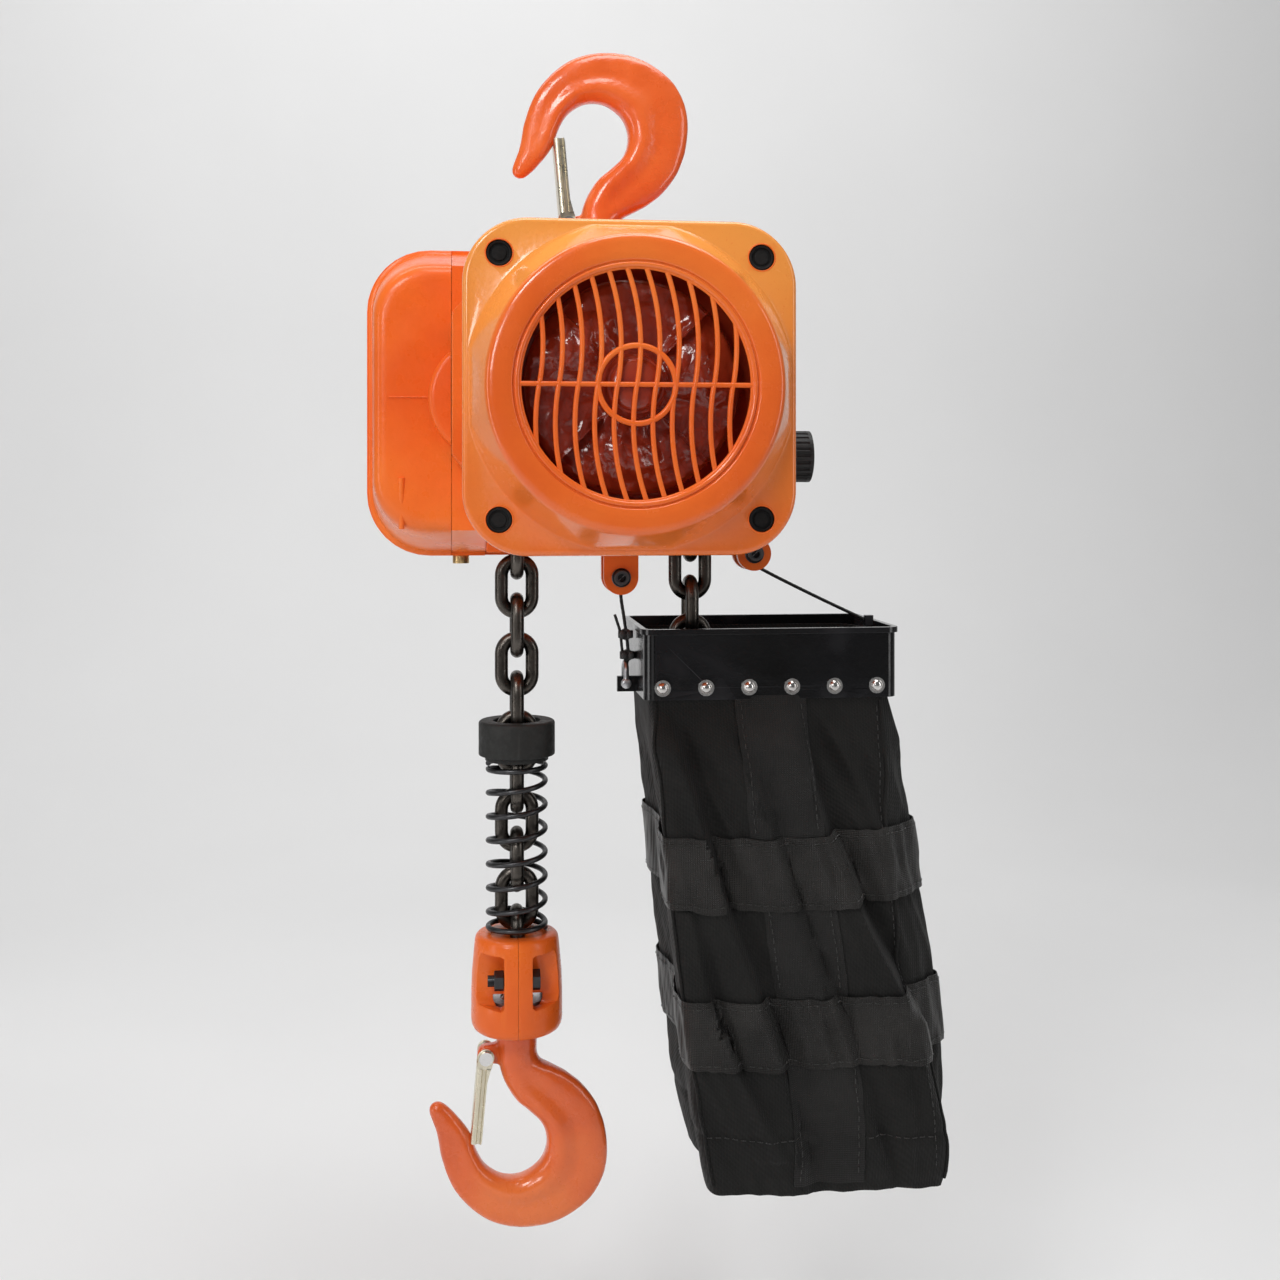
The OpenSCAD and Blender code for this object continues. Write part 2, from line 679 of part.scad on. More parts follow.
// Sheet latch hanging from its pin, with its two sides round the hook's ear
module latch_sheet() translate([latch_pivot[0], 0, latch_pivot[1]]) rotate([0, latch_tilt, 0]) difference() {
    union() {
        for (s = [-1, 1]) scale([1, s, 1]) {
            rod_y(4.4, 6.6, 8);
            box([-4.2, 6.6, -latch_len], [1.8, 8, 0]);
        }
        box([-4.2, -8, -latch_len], [-2.8, 8, -5]);
    }
    rod_y(2.55, -12, 12);
}

module latch_pin() translate([latch_pivot[0], 0, latch_pivot[1]]) {
    rod_y(2.45, -9.4, 9.4);
    for (s = [-1, 1]) scale([1, s, 1]) rod_y(3.6, 8.3, 9.6);
    for (s = [-1, 1]) scale([1, s, 1]) for (k = [0 : 1])
        translate([0, 4.2 + 1.1 * k, 0]) rotate([90, 0, 0]) rotate_extrude() translate([3.1, 0]) circle(0.5);
}

module hook_nut(z0) tube_z(15, 8.95, z0, z0 + 6.8);

module at_bottom_hook() at_load() translate([0, 0, -bottom_bowl_depth]) children();
module at_top_hook() translate([0, 0, top_bowl_z - drive_drop]) mirror([0, 0, 1]) children();
bottom_shank = 71;
top_shank = top_bowl_z - 71.2;

module bottom_hook() color(orange) at_bottom_hook() hook_forging(bottom_shank);
module bottom_latch() color(yellow_zinc) at_bottom_hook() latch_sheet();
module bottom_latch_pin() color(steel) at_bottom_hook() latch_pin();
module bottom_hook_nut() color(steel) at_bottom_hook() hook_nut(bottom_shank + 0.1);
module top_hook() color(orange) at_top_hook() hook_forging(top_shank);
module top_latch() color(yellow_zinc) at_top_hook() latch_sheet();
module top_latch_pin() color(steel) at_top_hook() latch_pin();
module top_hook_nut() color(steel) at_top_hook() hook_nut(top_shank + 0.1);
module hook_bush() color(bronze) translate([0, 0, -drive_drop]) tube_z(14, shank_r + 0.05, bush_bottom, 88);

// ---------- Load end ----------
module block_form() difference() {
    turned_z([[0, block_bottom_z], [19, block_bottom_z], [23.5, -340], [25.5, -334], [25.5, -326],
        [22.5, -300], [22, -288], [19.5, block_top_z], [0, block_top_z]]);
    box([-3.95, -12.4, -307], [3.95, 12.4, -280]);
    rod_z(11.2, -350, -333.5);
    rod_z(17, -334, -315);
    rod_x(4, -14, 14);
    translate([0, 0, chain_pin_z]) rod_x(4.02, -14, 14);
    for (s = [-1, 1]) {
        translate([0, s * block_bolt_y, block_bolt_z]) rod_x(3, -40, 40);
        for (side = [-1, 1]) scale([side, s, 1]) box([7.5, 10.8, -318], [40, 40, -292]);
    }
}

module block_half(side) color(orange) at_load() intersection() {
    block_form();
    box([side < 0 ? -40 : 0.05, -40, -360], [side < 0 ? -0.05 : 40, 40, -280]);
}
module block_left() block_half(-1);
module block_right() block_half(1);

module block_bolt() {
    rod_x(2.95, -16, 7.6);
    translate([7.6, 0, 0]) rotate([0, 90, 0]) cylinder(r = 5.6, h = 4, $fn = 6);
}
module block_bolts() color(steel) at_load()
    for (s = [-1, 1]) translate([0, s * block_bolt_y, block_bolt_z]) block_bolt();

module block_nuts() color(steel) at_load()
    for (s = [-1, 1]) translate([-12.6, s * block_bolt_y, block_bolt_z])
        rotate([0, 90, 0]) difference() {
            cylinder(r = 5.6, h = 5, $fn = 6);
            translate([0, 0, -over]) cylinder(r = 2.96, h = 8);
        }

module chain_end_pin() color(steel) at_load() translate([0, 0, chain_pin_z]) rod_x(3.9, -13.8, 13.8);

module thrust_bearing() color(steel) at_load() tube_z(16.6, 11.1, -333.4, -327.2);

module limit_collar() color(black) at_load() turned_z([[12.6, spring_top_z], [17, spring_top_z],
    [17, collar_z], [20.5, collar_z], [20.5, collar_top_z - 1], [19.5, collar_top_z],
    [12.6, collar_top_z]]);

module buffer_spring() color(dark_steel) at_load()
    coil(15.3, spring_wire_r, block_top_z + 0.1, spring_top_z - 0.1, spring_turns, 20);

// ---------- Chain bag ----------
function sgn_pow(v, e) = sign(v) * pow(abs(v), e);
function bag_ring(s, inset, sides) = [for (j = [0 : sides - 1])
    let (t = -(j + 0.5) * 360 / sides, a = (s[2] - s[1]) / 2 - inset, b = (s[4] - s[3]) / 2 - inset)
    [(s[1] + s[2]) / 2 + a * sgn_pow(cos(t), 0.36), (s[3] + s[4]) / 2 + b * sgn_pow(sin(t), 0.36), s[0]]];

module rivet_places() for (i = [0 : rivet_count - 1], y = [rim_front_y, rim_back_y])
    translate([rivet_first_x + i * (rivet_last_x - rivet_first_x) / (rivet_count - 1), y, rivet_z])
        scale([1, y < 0 ? 1 : -1, 1]) children();

module bag_fabric() color(black) on_drive() difference() {
    skin([for (s = bag_stations) bag_ring(s, 0, 28)]);
    skin([for (i = [0 : len(bag_stations) - 1])
        let (s = bag_stations[i]) bag_ring([s[0] + (i == 0 ? 2 : 2.5), s[1], s[2], s[3], s[4]], 2.5, 28)]);
    rivet_places() rod_y(2.2, -over, 8);
}

// Frame with its flanged top, an ear for the shackle and a tab for the right wire
module bag_rim() color(black) on_drive() {
    rim_shell();
    box([rim_right - 6, lug_y - 2, rim_top_z - 3], [rim_right - 1.4, lug_y + 2, rim_top_z + 2.7]);
}

module rim_shell() difference() {
    union() {
        rim_solid(0);
        translate([0, 0, rim_top_z - 3]) linear_extrude(3)
            rounded(rim_left - 1.5, rim_right + 1.5, rim_front_y - 1.5, rim_back_y + 1.5, 7.5);
        box([shackle[0] - 4.6, lug_y - 1.5, shackle[1] - 11],
            [rim_left + 1, lug_y + 1.5, shackle[1] - 2.5]);
    }
    rim_solid(1.6);
    translate([0, 0, rim_open]) rim_solid(1.6);
    rivet_places() rod_y(2.2, -over, 8);
    translate([shackle[0], 0, shackle[1] - 6]) rod_y(1.8, 0, 30);
}

// Block with the outline of the bag frame, inset at its sides and longer at both ends
module rim_solid(inset) translate([0, 0, rim_bottom_z - inset])
    linear_extrude(rim_top_z - rim_bottom_z + 2 * inset)
        rounded(rim_left + inset, rim_right - inset, rim_front_y + inset, rim_back_y - inset, 6 - inset);

module bag_rivets() color(steel) on_drive() rivet_places() {
    rod_y(2.1, -0.1, 5);
    turned_y([[0, -0.1], [4.5, -0.1], [4.3, -0.9], [0, -0.9]]);
    turned_y([[0, -0.9], [3, -0.9], [2.4, -1.9], [1.2, -2.5], [0, -2.7]]);
}

module bag_wires() color(dark_steel) on_drive() translate([0, lug_y, 0]) {
    wire(left_wire, 1);
    wire(right_wire, 1);
}

// Eyes round the lug bolts, clamps on the left wire, and the shackle through the frame's ear
module wire_fittings() color(steel) on_drive() translate([0, lug_y, 0]) {
    for (hole = [left_lug, right_lug]) translate([hole[0], 0, hole[1]]) tube_y(5.8, 3.9, -1.6, 1.6);
    for (p = wire_clamps) translate([p[0], 0, p[1]]) difference() {
        box([-4.6, -2.6, -2.2], [3, 2.6, 2.2]);
        rotate([0, p[2], 0]) rod_z(1.25, -4, 4);
    }
    translate([shackle[0], 0, shackle[1]]) {
        rotate([90, 0, 90]) rotate_extrude(angle = 180) translate([5, 0]) circle(1.6);
        for (s = [-1, 1]) translate([0, s * 5, 0]) rod_z(1.6, -6, 0);
        translate([0, 0, -6]) rod_y(1.7, -7.6, 7.6);
    }
}

main_frame();
motor_housing();
motor_end_shield();
fan_cover();
screw_plugs();
electrical_cover();
cover_screws();
contactor();
terminal_block();
transformer();
gearbox_cover();
gearbox_gasket();
stator_core();
stator_winding();
brake_coil();
shaft_bearings();
wheel_bearings();
layshaft_bearings();
chain_guide();
limit_switch();
side_plug();
cable_glands();
lug_bolts();
drain_screw();
hook_bush();
motor_shaft();
rotor_core();
cooling_fan();
brake_disc();
layshaft();
first_gear();
chain_wheel();
output_gear();
wrapped_chain();
load_chain();
block_left();
block_right();
block_bolts();
block_nuts();
chain_end_pin();
thrust_bearing();
buffer_spring();
limit_collar();
bottom_hook();
bottom_hook_nut();
bottom_latch();
bottom_latch_pin();
top_hook();
top_hook_nut();
top_latch();
top_latch_pin();
slack_chain();
bag_rim();
bag_rivets();
bag_fabric();
bag_wires();
wire_fittings();
chain_pile();
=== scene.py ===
import math

import bmesh
import bpy
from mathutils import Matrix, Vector, noise

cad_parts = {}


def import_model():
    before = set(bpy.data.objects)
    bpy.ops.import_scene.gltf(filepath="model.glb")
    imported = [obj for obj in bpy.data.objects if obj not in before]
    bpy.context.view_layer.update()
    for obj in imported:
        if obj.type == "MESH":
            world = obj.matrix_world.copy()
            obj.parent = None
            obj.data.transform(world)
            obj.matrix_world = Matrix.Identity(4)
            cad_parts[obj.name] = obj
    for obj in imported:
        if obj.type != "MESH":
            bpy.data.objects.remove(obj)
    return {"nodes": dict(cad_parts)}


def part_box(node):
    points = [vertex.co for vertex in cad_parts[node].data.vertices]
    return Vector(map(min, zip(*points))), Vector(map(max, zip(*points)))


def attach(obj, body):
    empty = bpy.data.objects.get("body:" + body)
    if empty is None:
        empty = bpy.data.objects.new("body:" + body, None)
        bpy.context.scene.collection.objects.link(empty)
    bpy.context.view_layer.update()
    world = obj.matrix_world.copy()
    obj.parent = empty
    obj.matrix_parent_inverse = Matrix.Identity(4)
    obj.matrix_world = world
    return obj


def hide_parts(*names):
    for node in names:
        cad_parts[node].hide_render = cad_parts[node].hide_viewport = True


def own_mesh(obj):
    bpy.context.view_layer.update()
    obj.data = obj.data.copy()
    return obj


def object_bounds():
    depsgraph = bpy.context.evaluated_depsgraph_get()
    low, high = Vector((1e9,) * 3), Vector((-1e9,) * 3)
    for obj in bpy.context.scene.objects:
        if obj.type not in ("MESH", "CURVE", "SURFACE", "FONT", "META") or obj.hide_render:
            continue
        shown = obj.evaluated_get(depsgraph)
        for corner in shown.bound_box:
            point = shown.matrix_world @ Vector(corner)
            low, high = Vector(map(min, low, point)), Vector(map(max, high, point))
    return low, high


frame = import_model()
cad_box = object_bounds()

# Sizes below are in millimetres from the drive axis, +Z up and -Y towards the fan cover.
MM = 0.001
fan_low, fan_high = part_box("fan_cover")
DRIVE_X = (fan_low.x + fan_high.x) / 2 / MM
DRIVE_Z = (fan_low.z + fan_high.z) / 2 / MM
CHAIN_X = 47.2
LUG_Y = 14
LUGS = ((10, -95.2), (84, -82.5))
FAN_SCREWS = [(x, z) for x in (-60.6, 60.6) for z in (-60.6, 60.6)]


# ---------------------------------------------------------------- basic tools
def world(p):
    """A point from the drive axis in mm, as a point in the frame in metres."""
    return Vector(((p[0] + DRIVE_X) * MM, p[1] * MM, (p[2] + DRIVE_Z) * MM))


def mix(a, b, t):
    return a + (b - a) * t


def finish_mesh(obj, sharp=35):
    """Smooth shading with edges sharper than the angle kept crisp."""
    mesh = obj.data
    mesh.polygons.foreach_set("use_smooth", [True] * len(mesh.polygons))
    if sharp < 180:
        mesh.set_sharp_from_angle(angle=math.radians(sharp))
    mesh.update()


def apply_modifiers(obj):
    """Makes the mesh what its modifiers give, and removes them."""
    bpy.context.view_layer.update()
    depsgraph = bpy.context.evaluated_depsgraph_get()
    mesh = bpy.data.meshes.new_from_object(obj.evaluated_get(depsgraph))
    obj.modifiers.clear()
    obj.data = mesh


def set_material(obj, material):
    obj.data.materials.clear()
    obj.data.materials.append(material)


def piece(name, points, faces, material, body, slot, replaces=(), sharp=35):
    """A mesh piece from points in mm, riding on a body."""
    mesh = bpy.data.meshes.new(name)
    mesh.from_pydata([world(p) for p in points], [], faces)
    mesh.validate()
    obj = bpy.data.objects.new(name, mesh)
    bpy.context.scene.collection.objects.link(obj)
    fix = bmesh.new()
    fix.from_mesh(mesh)
    bmesh.ops.remove_doubles(fix, verts=fix.verts, dist=1e-6)
    bmesh.ops.recalc_face_normals(fix, faces=fix.faces)
    fix.to_mesh(mesh)
    fix.free()
    finish_mesh(obj, sharp)
    set_material(obj, material)
    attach(obj, body)
    if replaces:
        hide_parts(*replaces)
    return obj


class Shape:
    """Collects points and faces in mm, so that one piece can be made of several bodies."""

    def __init__(self):
        self.points = []
        self.faces = []

    def loft(self, rings, caps=(True, True), loop=False):
        """A skin through rings of equal length."""
        start = len(self.points)
        n = len(rings[0])
        for ring in rings:
            self.points.extend(Vector(p) for p in ring)
        count = len(rings)
        for i in range(count if loop else count - 1):
            for j in range(n):
                a = start + i * n + j
                b = start + i * n + (j + 1) % n
                c = start + ((i + 1) % count) * n + j
                d = start + ((i + 1) % count) * n + (j + 1) % n
                self.faces.append((a, b, d, c))
        if caps[0] and not loop:
            self.faces.append(tuple(start + j for j in range(n - 1, -1, -1)))
        if caps[1] and not loop:
            self.faces.append(tuple(start + (count - 1) * n + j for j in range(n)))
        return self

    def turned(self, profile, axis, centre, sides):
        """A solid of revolution: profile is (radius, height) pairs along the axis."""
        rings = [turned_ring(r, h, axis, centre, sides) for r, h in profile]
        return self.loft(rings)

    def tube(self, path, radius, sides=12, closed=False):
        """A round tube along a path, with frames carried along it."""
        return self.loft(tube_rings(path, radius, sides, closed), loop=closed)

    def box(self, low, high):
        xs, ys, zs = zip(low, high)
        rings = [[(xs[0], ys[0], z), (xs[1], ys[0], z), (xs[1], ys[1], z), (xs[0], ys[1], z)] for z in zs]
        return self.loft(rings)

    def prism(self, centre, axis, radius_sides):
        """A nut or bolt head: radius, sides, from and to along the axis."""
        radius, sides, low, high = radius_sides
        ease = 0.12 * radius
        profile = [(radius - ease, low), (radius, low + ease * 0.6), (radius, high - ease * 0.6),
                   (radius - ease, high)]
        rings = [turned_ring(r, h, axis, centre, sides) for r, h in profile]
        return self.loft(rings)

    def piece(self, name, material, body, slot, **options):
        """The finished piece made of everything in this shape."""
        return piece(name, self.points, self.faces, material, body, slot, **options)


def add_bevel(obj, width, angle):
    """Rounds the edges that are sharper than an angle."""
    edge = obj.modifiers.new("edge", "BEVEL")
    edge.width = width * MM
    edge.segments = 3
    edge.limit_method = "ANGLE"
    edge.angle_limit = math.radians(angle)
    return edge


def cut_out(obj, cutters, body, material, sharp, rounding=0):
    """Cuts a shape out of a piece and, where there is a rounding, softens the edges."""
    cutter = cutters.piece("cutter", material, body, "orange_paint")
    cut = obj.modifiers.new("cut", "BOOLEAN")
    cut.object = cutter
    cut.operation = "DIFFERENCE"
    cut.solver = "EXACT"
    if rounding:
        cut.use_self = True
        add_bevel(obj, rounding, sharp)
    apply_modifiers(obj)
    bpy.data.objects.remove(cutter)
    finish_mesh(obj, sharp)
    set_material(obj, material)


def turned_ring(r, h, axis, centre, sides):
    """A ring of points round an axis, at a height along it."""
    ring = []
    for j in range(sides):
        a = 2 * math.pi * j / sides
        u, v = r * math.cos(a), r * math.sin(a)
        p = {"x": (h, u, v), "y": (u, h, v), "z": (u, v, h)}[axis]
        ring.append(Vector(p) + Vector(centre))
    return ring


def tube_rings(path, radius, sides, closed=False):
    """Rings across a path; radius is a number or a function of the share of the path."""
    path = [Vector(p) for p in path]
    n = len(path)
    rings = []
    side = None
    for i, p in enumerate(path):
        before = path[(i - 1) % n] if closed else path[max(i - 1, 0)]
        after = path[(i + 1) % n] if closed else path[min(i + 1, n - 1)]
        along = (after - before).normalized()
        if side is None:
            side = along.orthogonal().normalized()
        side = (side - along * side.dot(along)).normalized()
        other = along.cross(side)
        r = radius(i / max(n - 1, 1)) if callable(radius) else radius
        rings.append([p + side * r * math.cos(a) + other * r * math.sin(a)
                      for a in (2 * math.pi * j / sides for j in range(sides))])
    return rings


def spline(stations, steps):
    """Smooth list through stations of equal length (Catmull-Rom)."""
    out = []
    n = len(stations)
    for i in range(n - 1):
        a, b = stations[max(i - 1, 0)], stations[i]
        c, d = stations[i + 1], stations[min(i + 2, n - 1)]
        for k in range(steps):
            t = k / steps
            out.append([0.5 * (2 * q + (r - p) * t + (2 * p - 5 * q + 4 * r - s) * t * t
                               + (3 * q - p - 3 * r + s) * t ** 3)
                        for p, q, r, s in zip(a, b, c, d)])
    out.append(list(stations[-1]))
    return out


# ---------------------------------------------------------------- materials
def node(tree, kind, **inputs):
    made = tree.nodes.new(kind)
    for key, value in inputs.items():
        if hasattr(value, "is_output"):
            tree.links.new(value, made.inputs[key.replace("_", " ")])
        else:
            made.inputs[key.replace("_", " ")].default_value = value
    return made


def ramp(tree, value, stops):
    made = tree.nodes.new("ShaderNodeValToRGB")
    tree.links.new(value, made.inputs["Fac"])
    elements = made.color_ramp.elements
    while len(elements) < len(stops):
        elements.new(0.5)
    for element, (at, color) in zip(elements, stops):
        element.position = at
        element.color = color if len(color) == 4 else (*color, 1)
    return made.outputs["Color"]


def grey(v):
    return (v, v, v, 1)


def start_material(name):
    """A new material with its shader, and object coordinates for its textures."""
    material = bpy.data.materials.new(name)
    material.use_nodes = True
    tree = material.node_tree
    tree.nodes.clear()
    output = tree.nodes.new("ShaderNodeOutputMaterial")
    shader = tree.nodes.new("ShaderNodeBsdfPrincipled")
    tree.links.new(shader.outputs["BSDF"], output.inputs["Surface"])
    place = tree.nodes.new("ShaderNodeTexCoord").outputs["Object"]
    return material, tree, shader, place


def noise_at(tree, place, scale, detail=3.0, rough=0.5, stretch=None):
    vector = place
    if stretch:
        mapping = tree.nodes.new("ShaderNodeMapping")
        tree.links.new(place, mapping.inputs["Vector"])
        mapping.inputs["Scale"].default_value = stretch
        vector = mapping.outputs["Vector"]
    made = tree.nodes.new("ShaderNodeTexNoise")
    tree.links.new(vector, made.inputs["Vector"])
    made.inputs["Scale"].default_value = scale
    made.inputs["Detail"].default_value = detail
    made.inputs["Roughness"].default_value = rough
    return made.outputs["Fac"]


def blend_colour(tree, amount, first, second):
    made = tree.nodes.new("ShaderNodeMix")
    made.data_type = "RGBA"
    for socket, value in ((made.inputs[0], amount), (made.inputs[6], first), (made.inputs[7], second)):
        if hasattr(value, "is_output"):
            tree.links.new(value, socket)
        else:
            socket.default_value = value if isinstance(value, float) or len(value) == 4 else (*value, 1)
    return made.outputs[2]


def maths(tree, operation, first, second=0.0):
    made = tree.nodes.new("ShaderNodeMath")
    made.operation = operation
    for socket, value in zip(made.inputs, (first, second)):
        if hasattr(value, "is_output"):
            tree.links.new(value, socket)
        else:
            socket.default_value = value
    return made.outputs[0]


def bump(tree, shader, height, strength, distance):
    made = tree.nodes.new("ShaderNodeBump")
    made.inputs["Strength"].default_value = strength
    made.inputs["Distance"].default_value = distance
    tree.links.new(height, made.inputs["Height"])
    tree.links.new(made.outputs["Normal"], shader.inputs["Normal"])


def worn_edges(tree, low, high):
    """A mask that is 1 on convex edges."""
    geometry = tree.nodes.new("ShaderNodeNewGeometry")
    return ramp(tree, geometry.outputs["Pointiness"], [(low, grey(0)), (high, grey(1))])


def painted(name, base, dark, bright, rough=0.28, coat=0.3, peel=0.2, peel_scale=420, wear=0.25,
            lumps=0.0, gloss=0.4, painted_top_light=False):
    """Sprayed enamel: slow colour drift, orange-peel texture, faint dust and rubbed edges, and on request a
    painted light that makes the top a yellower orange.
    """
    material, tree, shader, place = start_material(name)
    drift = ramp(tree, noise_at(tree, place, 14, 3, 0.55), [(0.32, dark), (0.5, base), (0.7, bright)])
    if painted_top_light:
        # Painted light: the plate and cone are painted a yellower orange towards their top, where they face
        # the light, except on the front face of the ring
        split = node(tree, "ShaderNodeSeparateXYZ", Vector=place)
        high = maths(tree, "MULTIPLY", maths(tree, "ADD", split.outputs["Z"], -(DRIVE_Z - 60) * MM), 4.5)
        behind = maths(tree, "MULTIPLY", maths(tree, "ADD", split.outputs["Y"], 0.1515), 160)
        lit = maths(tree, "MULTIPLY", ramp(tree, high, [(0.0, grey(0.12)), (0.75, grey(0.85))]),
                    ramp(tree, behind, [(0.0, grey(0)), (0.5, grey(1))]))
        drift = blend_colour(tree, lit, drift, (0.94, 0.43, 0.085))
    specks = ramp(tree, noise_at(tree, place, 900, 2, 0.6), [(0.30, grey(1)), (0.36, grey(0))])
    colour = blend_colour(tree, maths(tree, "MULTIPLY", specks, 0.35), drift, dark)
    colour = blend_colour(tree, maths(tree, "MULTIPLY", worn_edges(tree, 0.515, 0.58), wear), colour, bright)
    tree.links.new(colour, shader.inputs["Base Color"])
    smear = noise_at(tree, place, 60, 4, 0.6)
    tree.links.new(ramp(tree, smear, [(0.3, grey(rough * 0.75)), (0.7, grey(rough * 1.45))]),
                   shader.inputs["Roughness"])
    shader.inputs["Coat Weight"].default_value = coat
    shader.inputs["Specular IOR Level"].default_value = gloss
    shader.inputs["Coat Roughness"].default_value = 0.07
    fine = noise_at(tree, place, peel_scale, 2, 0.5)
    if lumps:
        coarse = noise_at(tree, place, 95, 4, 0.62)
        fine = maths(tree, "ADD", maths(tree, "MULTIPLY", fine, 0.4), maths(tree, "MULTIPLY", coarse, lumps))
    bump(tree, shader, fine, peel, 0.0006)
    return material


def metal(name, base, dark, bright, rough=0.32, brushed=None, wear=0.6, grime=0.5, metallic=1.0,
          grain=700, strength=0.12):
    """Bare or oiled metal: machining grain, oil stains and bright rubbed edges."""
    material, tree, shader, place = start_material(name)
    stain = ramp(tree, noise_at(tree, place, 90, 5, 0.65), [(0.35, dark), (0.62, base)])
    colour = blend_colour(tree, grime, base, stain)
    colour = blend_colour(tree, maths(tree, "MULTIPLY", worn_edges(tree, 0.51, 0.6), wear), colour, bright)
    tree.links.new(colour, shader.inputs["Base Color"])
    shader.inputs["Metallic"].default_value = metallic
    grain_noise = noise_at(tree, place, grain, 3, 0.6, brushed)
    tree.links.new(ramp(tree, grain_noise, [(0.25, grey(rough * 0.7)), (0.75, grey(min(rough * 1.5, 1)))]),
                   shader.inputs["Roughness"])
    bump(tree, shader, grain_noise, strength, 0.0003)
    return material


def moulded(name, base, rough=0.45, grain=520, strength=0.25, bright=None):
    """Moulded plastic or rubber with a fine grain and paler handling marks."""
    material, tree, shader, place = start_material(name)
    bright = bright or tuple(min(c * 2.2 + 0.01, 1) for c in base)
    marks = ramp(tree, noise_at(tree, place, 45, 6, 0.7), [(0.45, base), (0.8, bright)])
    colour = blend_colour(tree, maths(tree, "MULTIPLY", worn_edges(tree, 0.51, 0.58), 0.5), marks, bright)
    tree.links.new(colour, shader.inputs["Base Color"])
    grain_noise = noise_at(tree, place, grain, 3, 0.6)
    tree.links.new(ramp(tree, grain_noise, [(0.3, grey(rough * 0.8)), (0.7, grey(rough * 1.2))]),
                   shader.inputs["Roughness"])
    shader.inputs["Specular IOR Level"].default_value = 0.3
    bump(tree, shader, grain_noise, strength, 0.0004)
    return material


def waves(tree, place, scale, direction, distort=0.0):
    made = tree.nodes.new("ShaderNodeTexWave")
    made.wave_type = "BANDS"
    made.bands_direction = direction
    made.inputs["Scale"].default_value = scale
    made.inputs["Distortion"].default_value = distort
    tree.links.new(place, made.inputs["Vector"])
    return made.outputs["Fac"]


def woven(name, base, thread, rough=0.8, scale=260, strength=0.6, sheen=0.4, diagonal=True):
    """Woven cloth: twill ribs crossed by a finer weft, with faded and dusty areas."""
    material, tree, shader, place = start_material(name)
    ribs = waves(tree, place, scale, "DIAGONAL" if diagonal else "Z", 0.4)
    weft = waves(tree, place, scale * 0.8, "X", 0.4)
    weave = maths(tree, "MULTIPLY", maths(tree, "ADD", ribs, weft), 0.5)
    dust = noise_at(tree, place, 30, 6, 0.65)
    fade = ramp(tree, dust, [(0.35, base), (0.75, thread)])
    colour = blend_colour(tree, maths(tree, "MULTIPLY", weave, 0.55), fade, thread)
    tree.links.new(colour, shader.inputs["Base Color"])
    tree.links.new(ramp(tree, dust, [(0.3, grey(rough * 0.85)), (0.8, grey(min(rough * 1.15, 1)))]),
                   shader.inputs["Roughness"])
    shader.inputs["Sheen Weight"].default_value = sheen
    shader.inputs["Specular IOR Level"].default_value = 0.2
    shader.inputs["Sheen Roughness"].default_value = 0.4
    bump(tree, shader, weave, strength, 0.0005)
    return material


ORANGE = painted("orange_enamel", (0.88, 0.155, 0.02), (0.8, 0.12, 0.014), (0.93, 0.2, 0.03), coat=0.12,
                 gloss=0.26)
# The cover's enamel carries painted light: a yellower orange towards the top of the plate and cone
COVER = painted("cover_enamel", (0.86, 0.145, 0.018), (0.78, 0.115, 0.013), (0.91, 0.19, 0.027), coat=0.6,
                 rough=0.22, painted_top_light=True)
RED = painted("red_enamel", (0.36, 0.035, 0.012), (0.22, 0.018, 0.007), (0.5, 0.07, 0.02), rough=0.2,
              coat=0.8, peel=0.9, peel_scale=160)
HOOK = painted("hook_enamel", (0.82, 0.135, 0.022), (0.66, 0.09, 0.014), (0.9, 0.19, 0.038), rough=0.26,
               coat=0.6, peel=1.0, peel_scale=300, lumps=0.7)
GLOSS_BLACK = painted("black_enamel", (0.006, 0.006, 0.007), (0.003, 0.003, 0.003), (0.05, 0.05, 0.055),
                      rough=0.16, coat=0.2, peel=0.15, wear=0.5, gloss=0.3)
BLACK = moulded("black_plastic", (0.012, 0.012, 0.012))
# Plug black, darker than the black plastic: partly the plugs' own colour, partly painted shade of the screw
# holes
PLUG_AND_HOLE_SHADE = moulded("plug_black_and_hole_shade", (0.002, 0.002, 0.002), rough=0.7)
RUBBER = moulded("black_rubber", (0.016, 0.016, 0.015), rough=0.6, grain=320, strength=0.4)
GREY = moulded("grey_plastic", (0.3, 0.3, 0.32), rough=0.4, bright=(0.45, 0.45, 0.47))
STEEL = metal("machined_steel", (0.5, 0.5, 0.52), (0.2, 0.19, 0.18), (0.8, 0.8, 0.82), brushed=(1, 8, 1))
DARK_STEEL = metal("black_bolt_steel", (0.03, 0.03, 0.032), (0.012, 0.012, 0.012), (0.28, 0.28, 0.29),
                   rough=0.38)
ZINC = metal("bright_zinc", (0.72, 0.7, 0.68), (0.35, 0.32, 0.3), (0.95, 0.95, 0.95), rough=0.2)
CHAIN = metal("oiled_chain", (0.085, 0.075, 0.066), (0.03, 0.026, 0.022), (0.42, 0.38, 0.34), rough=0.3,
              wear=0.9, grime=0.7, grain=420, strength=0.3)
SPRING = metal("black_spring", (0.03, 0.03, 0.031), (0.012, 0.012, 0.012), (0.25, 0.25, 0.26), rough=0.35,
               wear=0.5)
YELLOW_ZINC = metal("yellow_zinc", (0.74, 0.68, 0.53), (0.55, 0.48, 0.34), (0.95, 0.9, 0.75), rough=0.28,
                    grime=0.12, wear=0.3, grain=240, strength=0.04)
COPPER = metal("copper_winding", (0.6, 0.25, 0.1), (0.3, 0.11, 0.04), (0.85, 0.45, 0.25), rough=0.35)
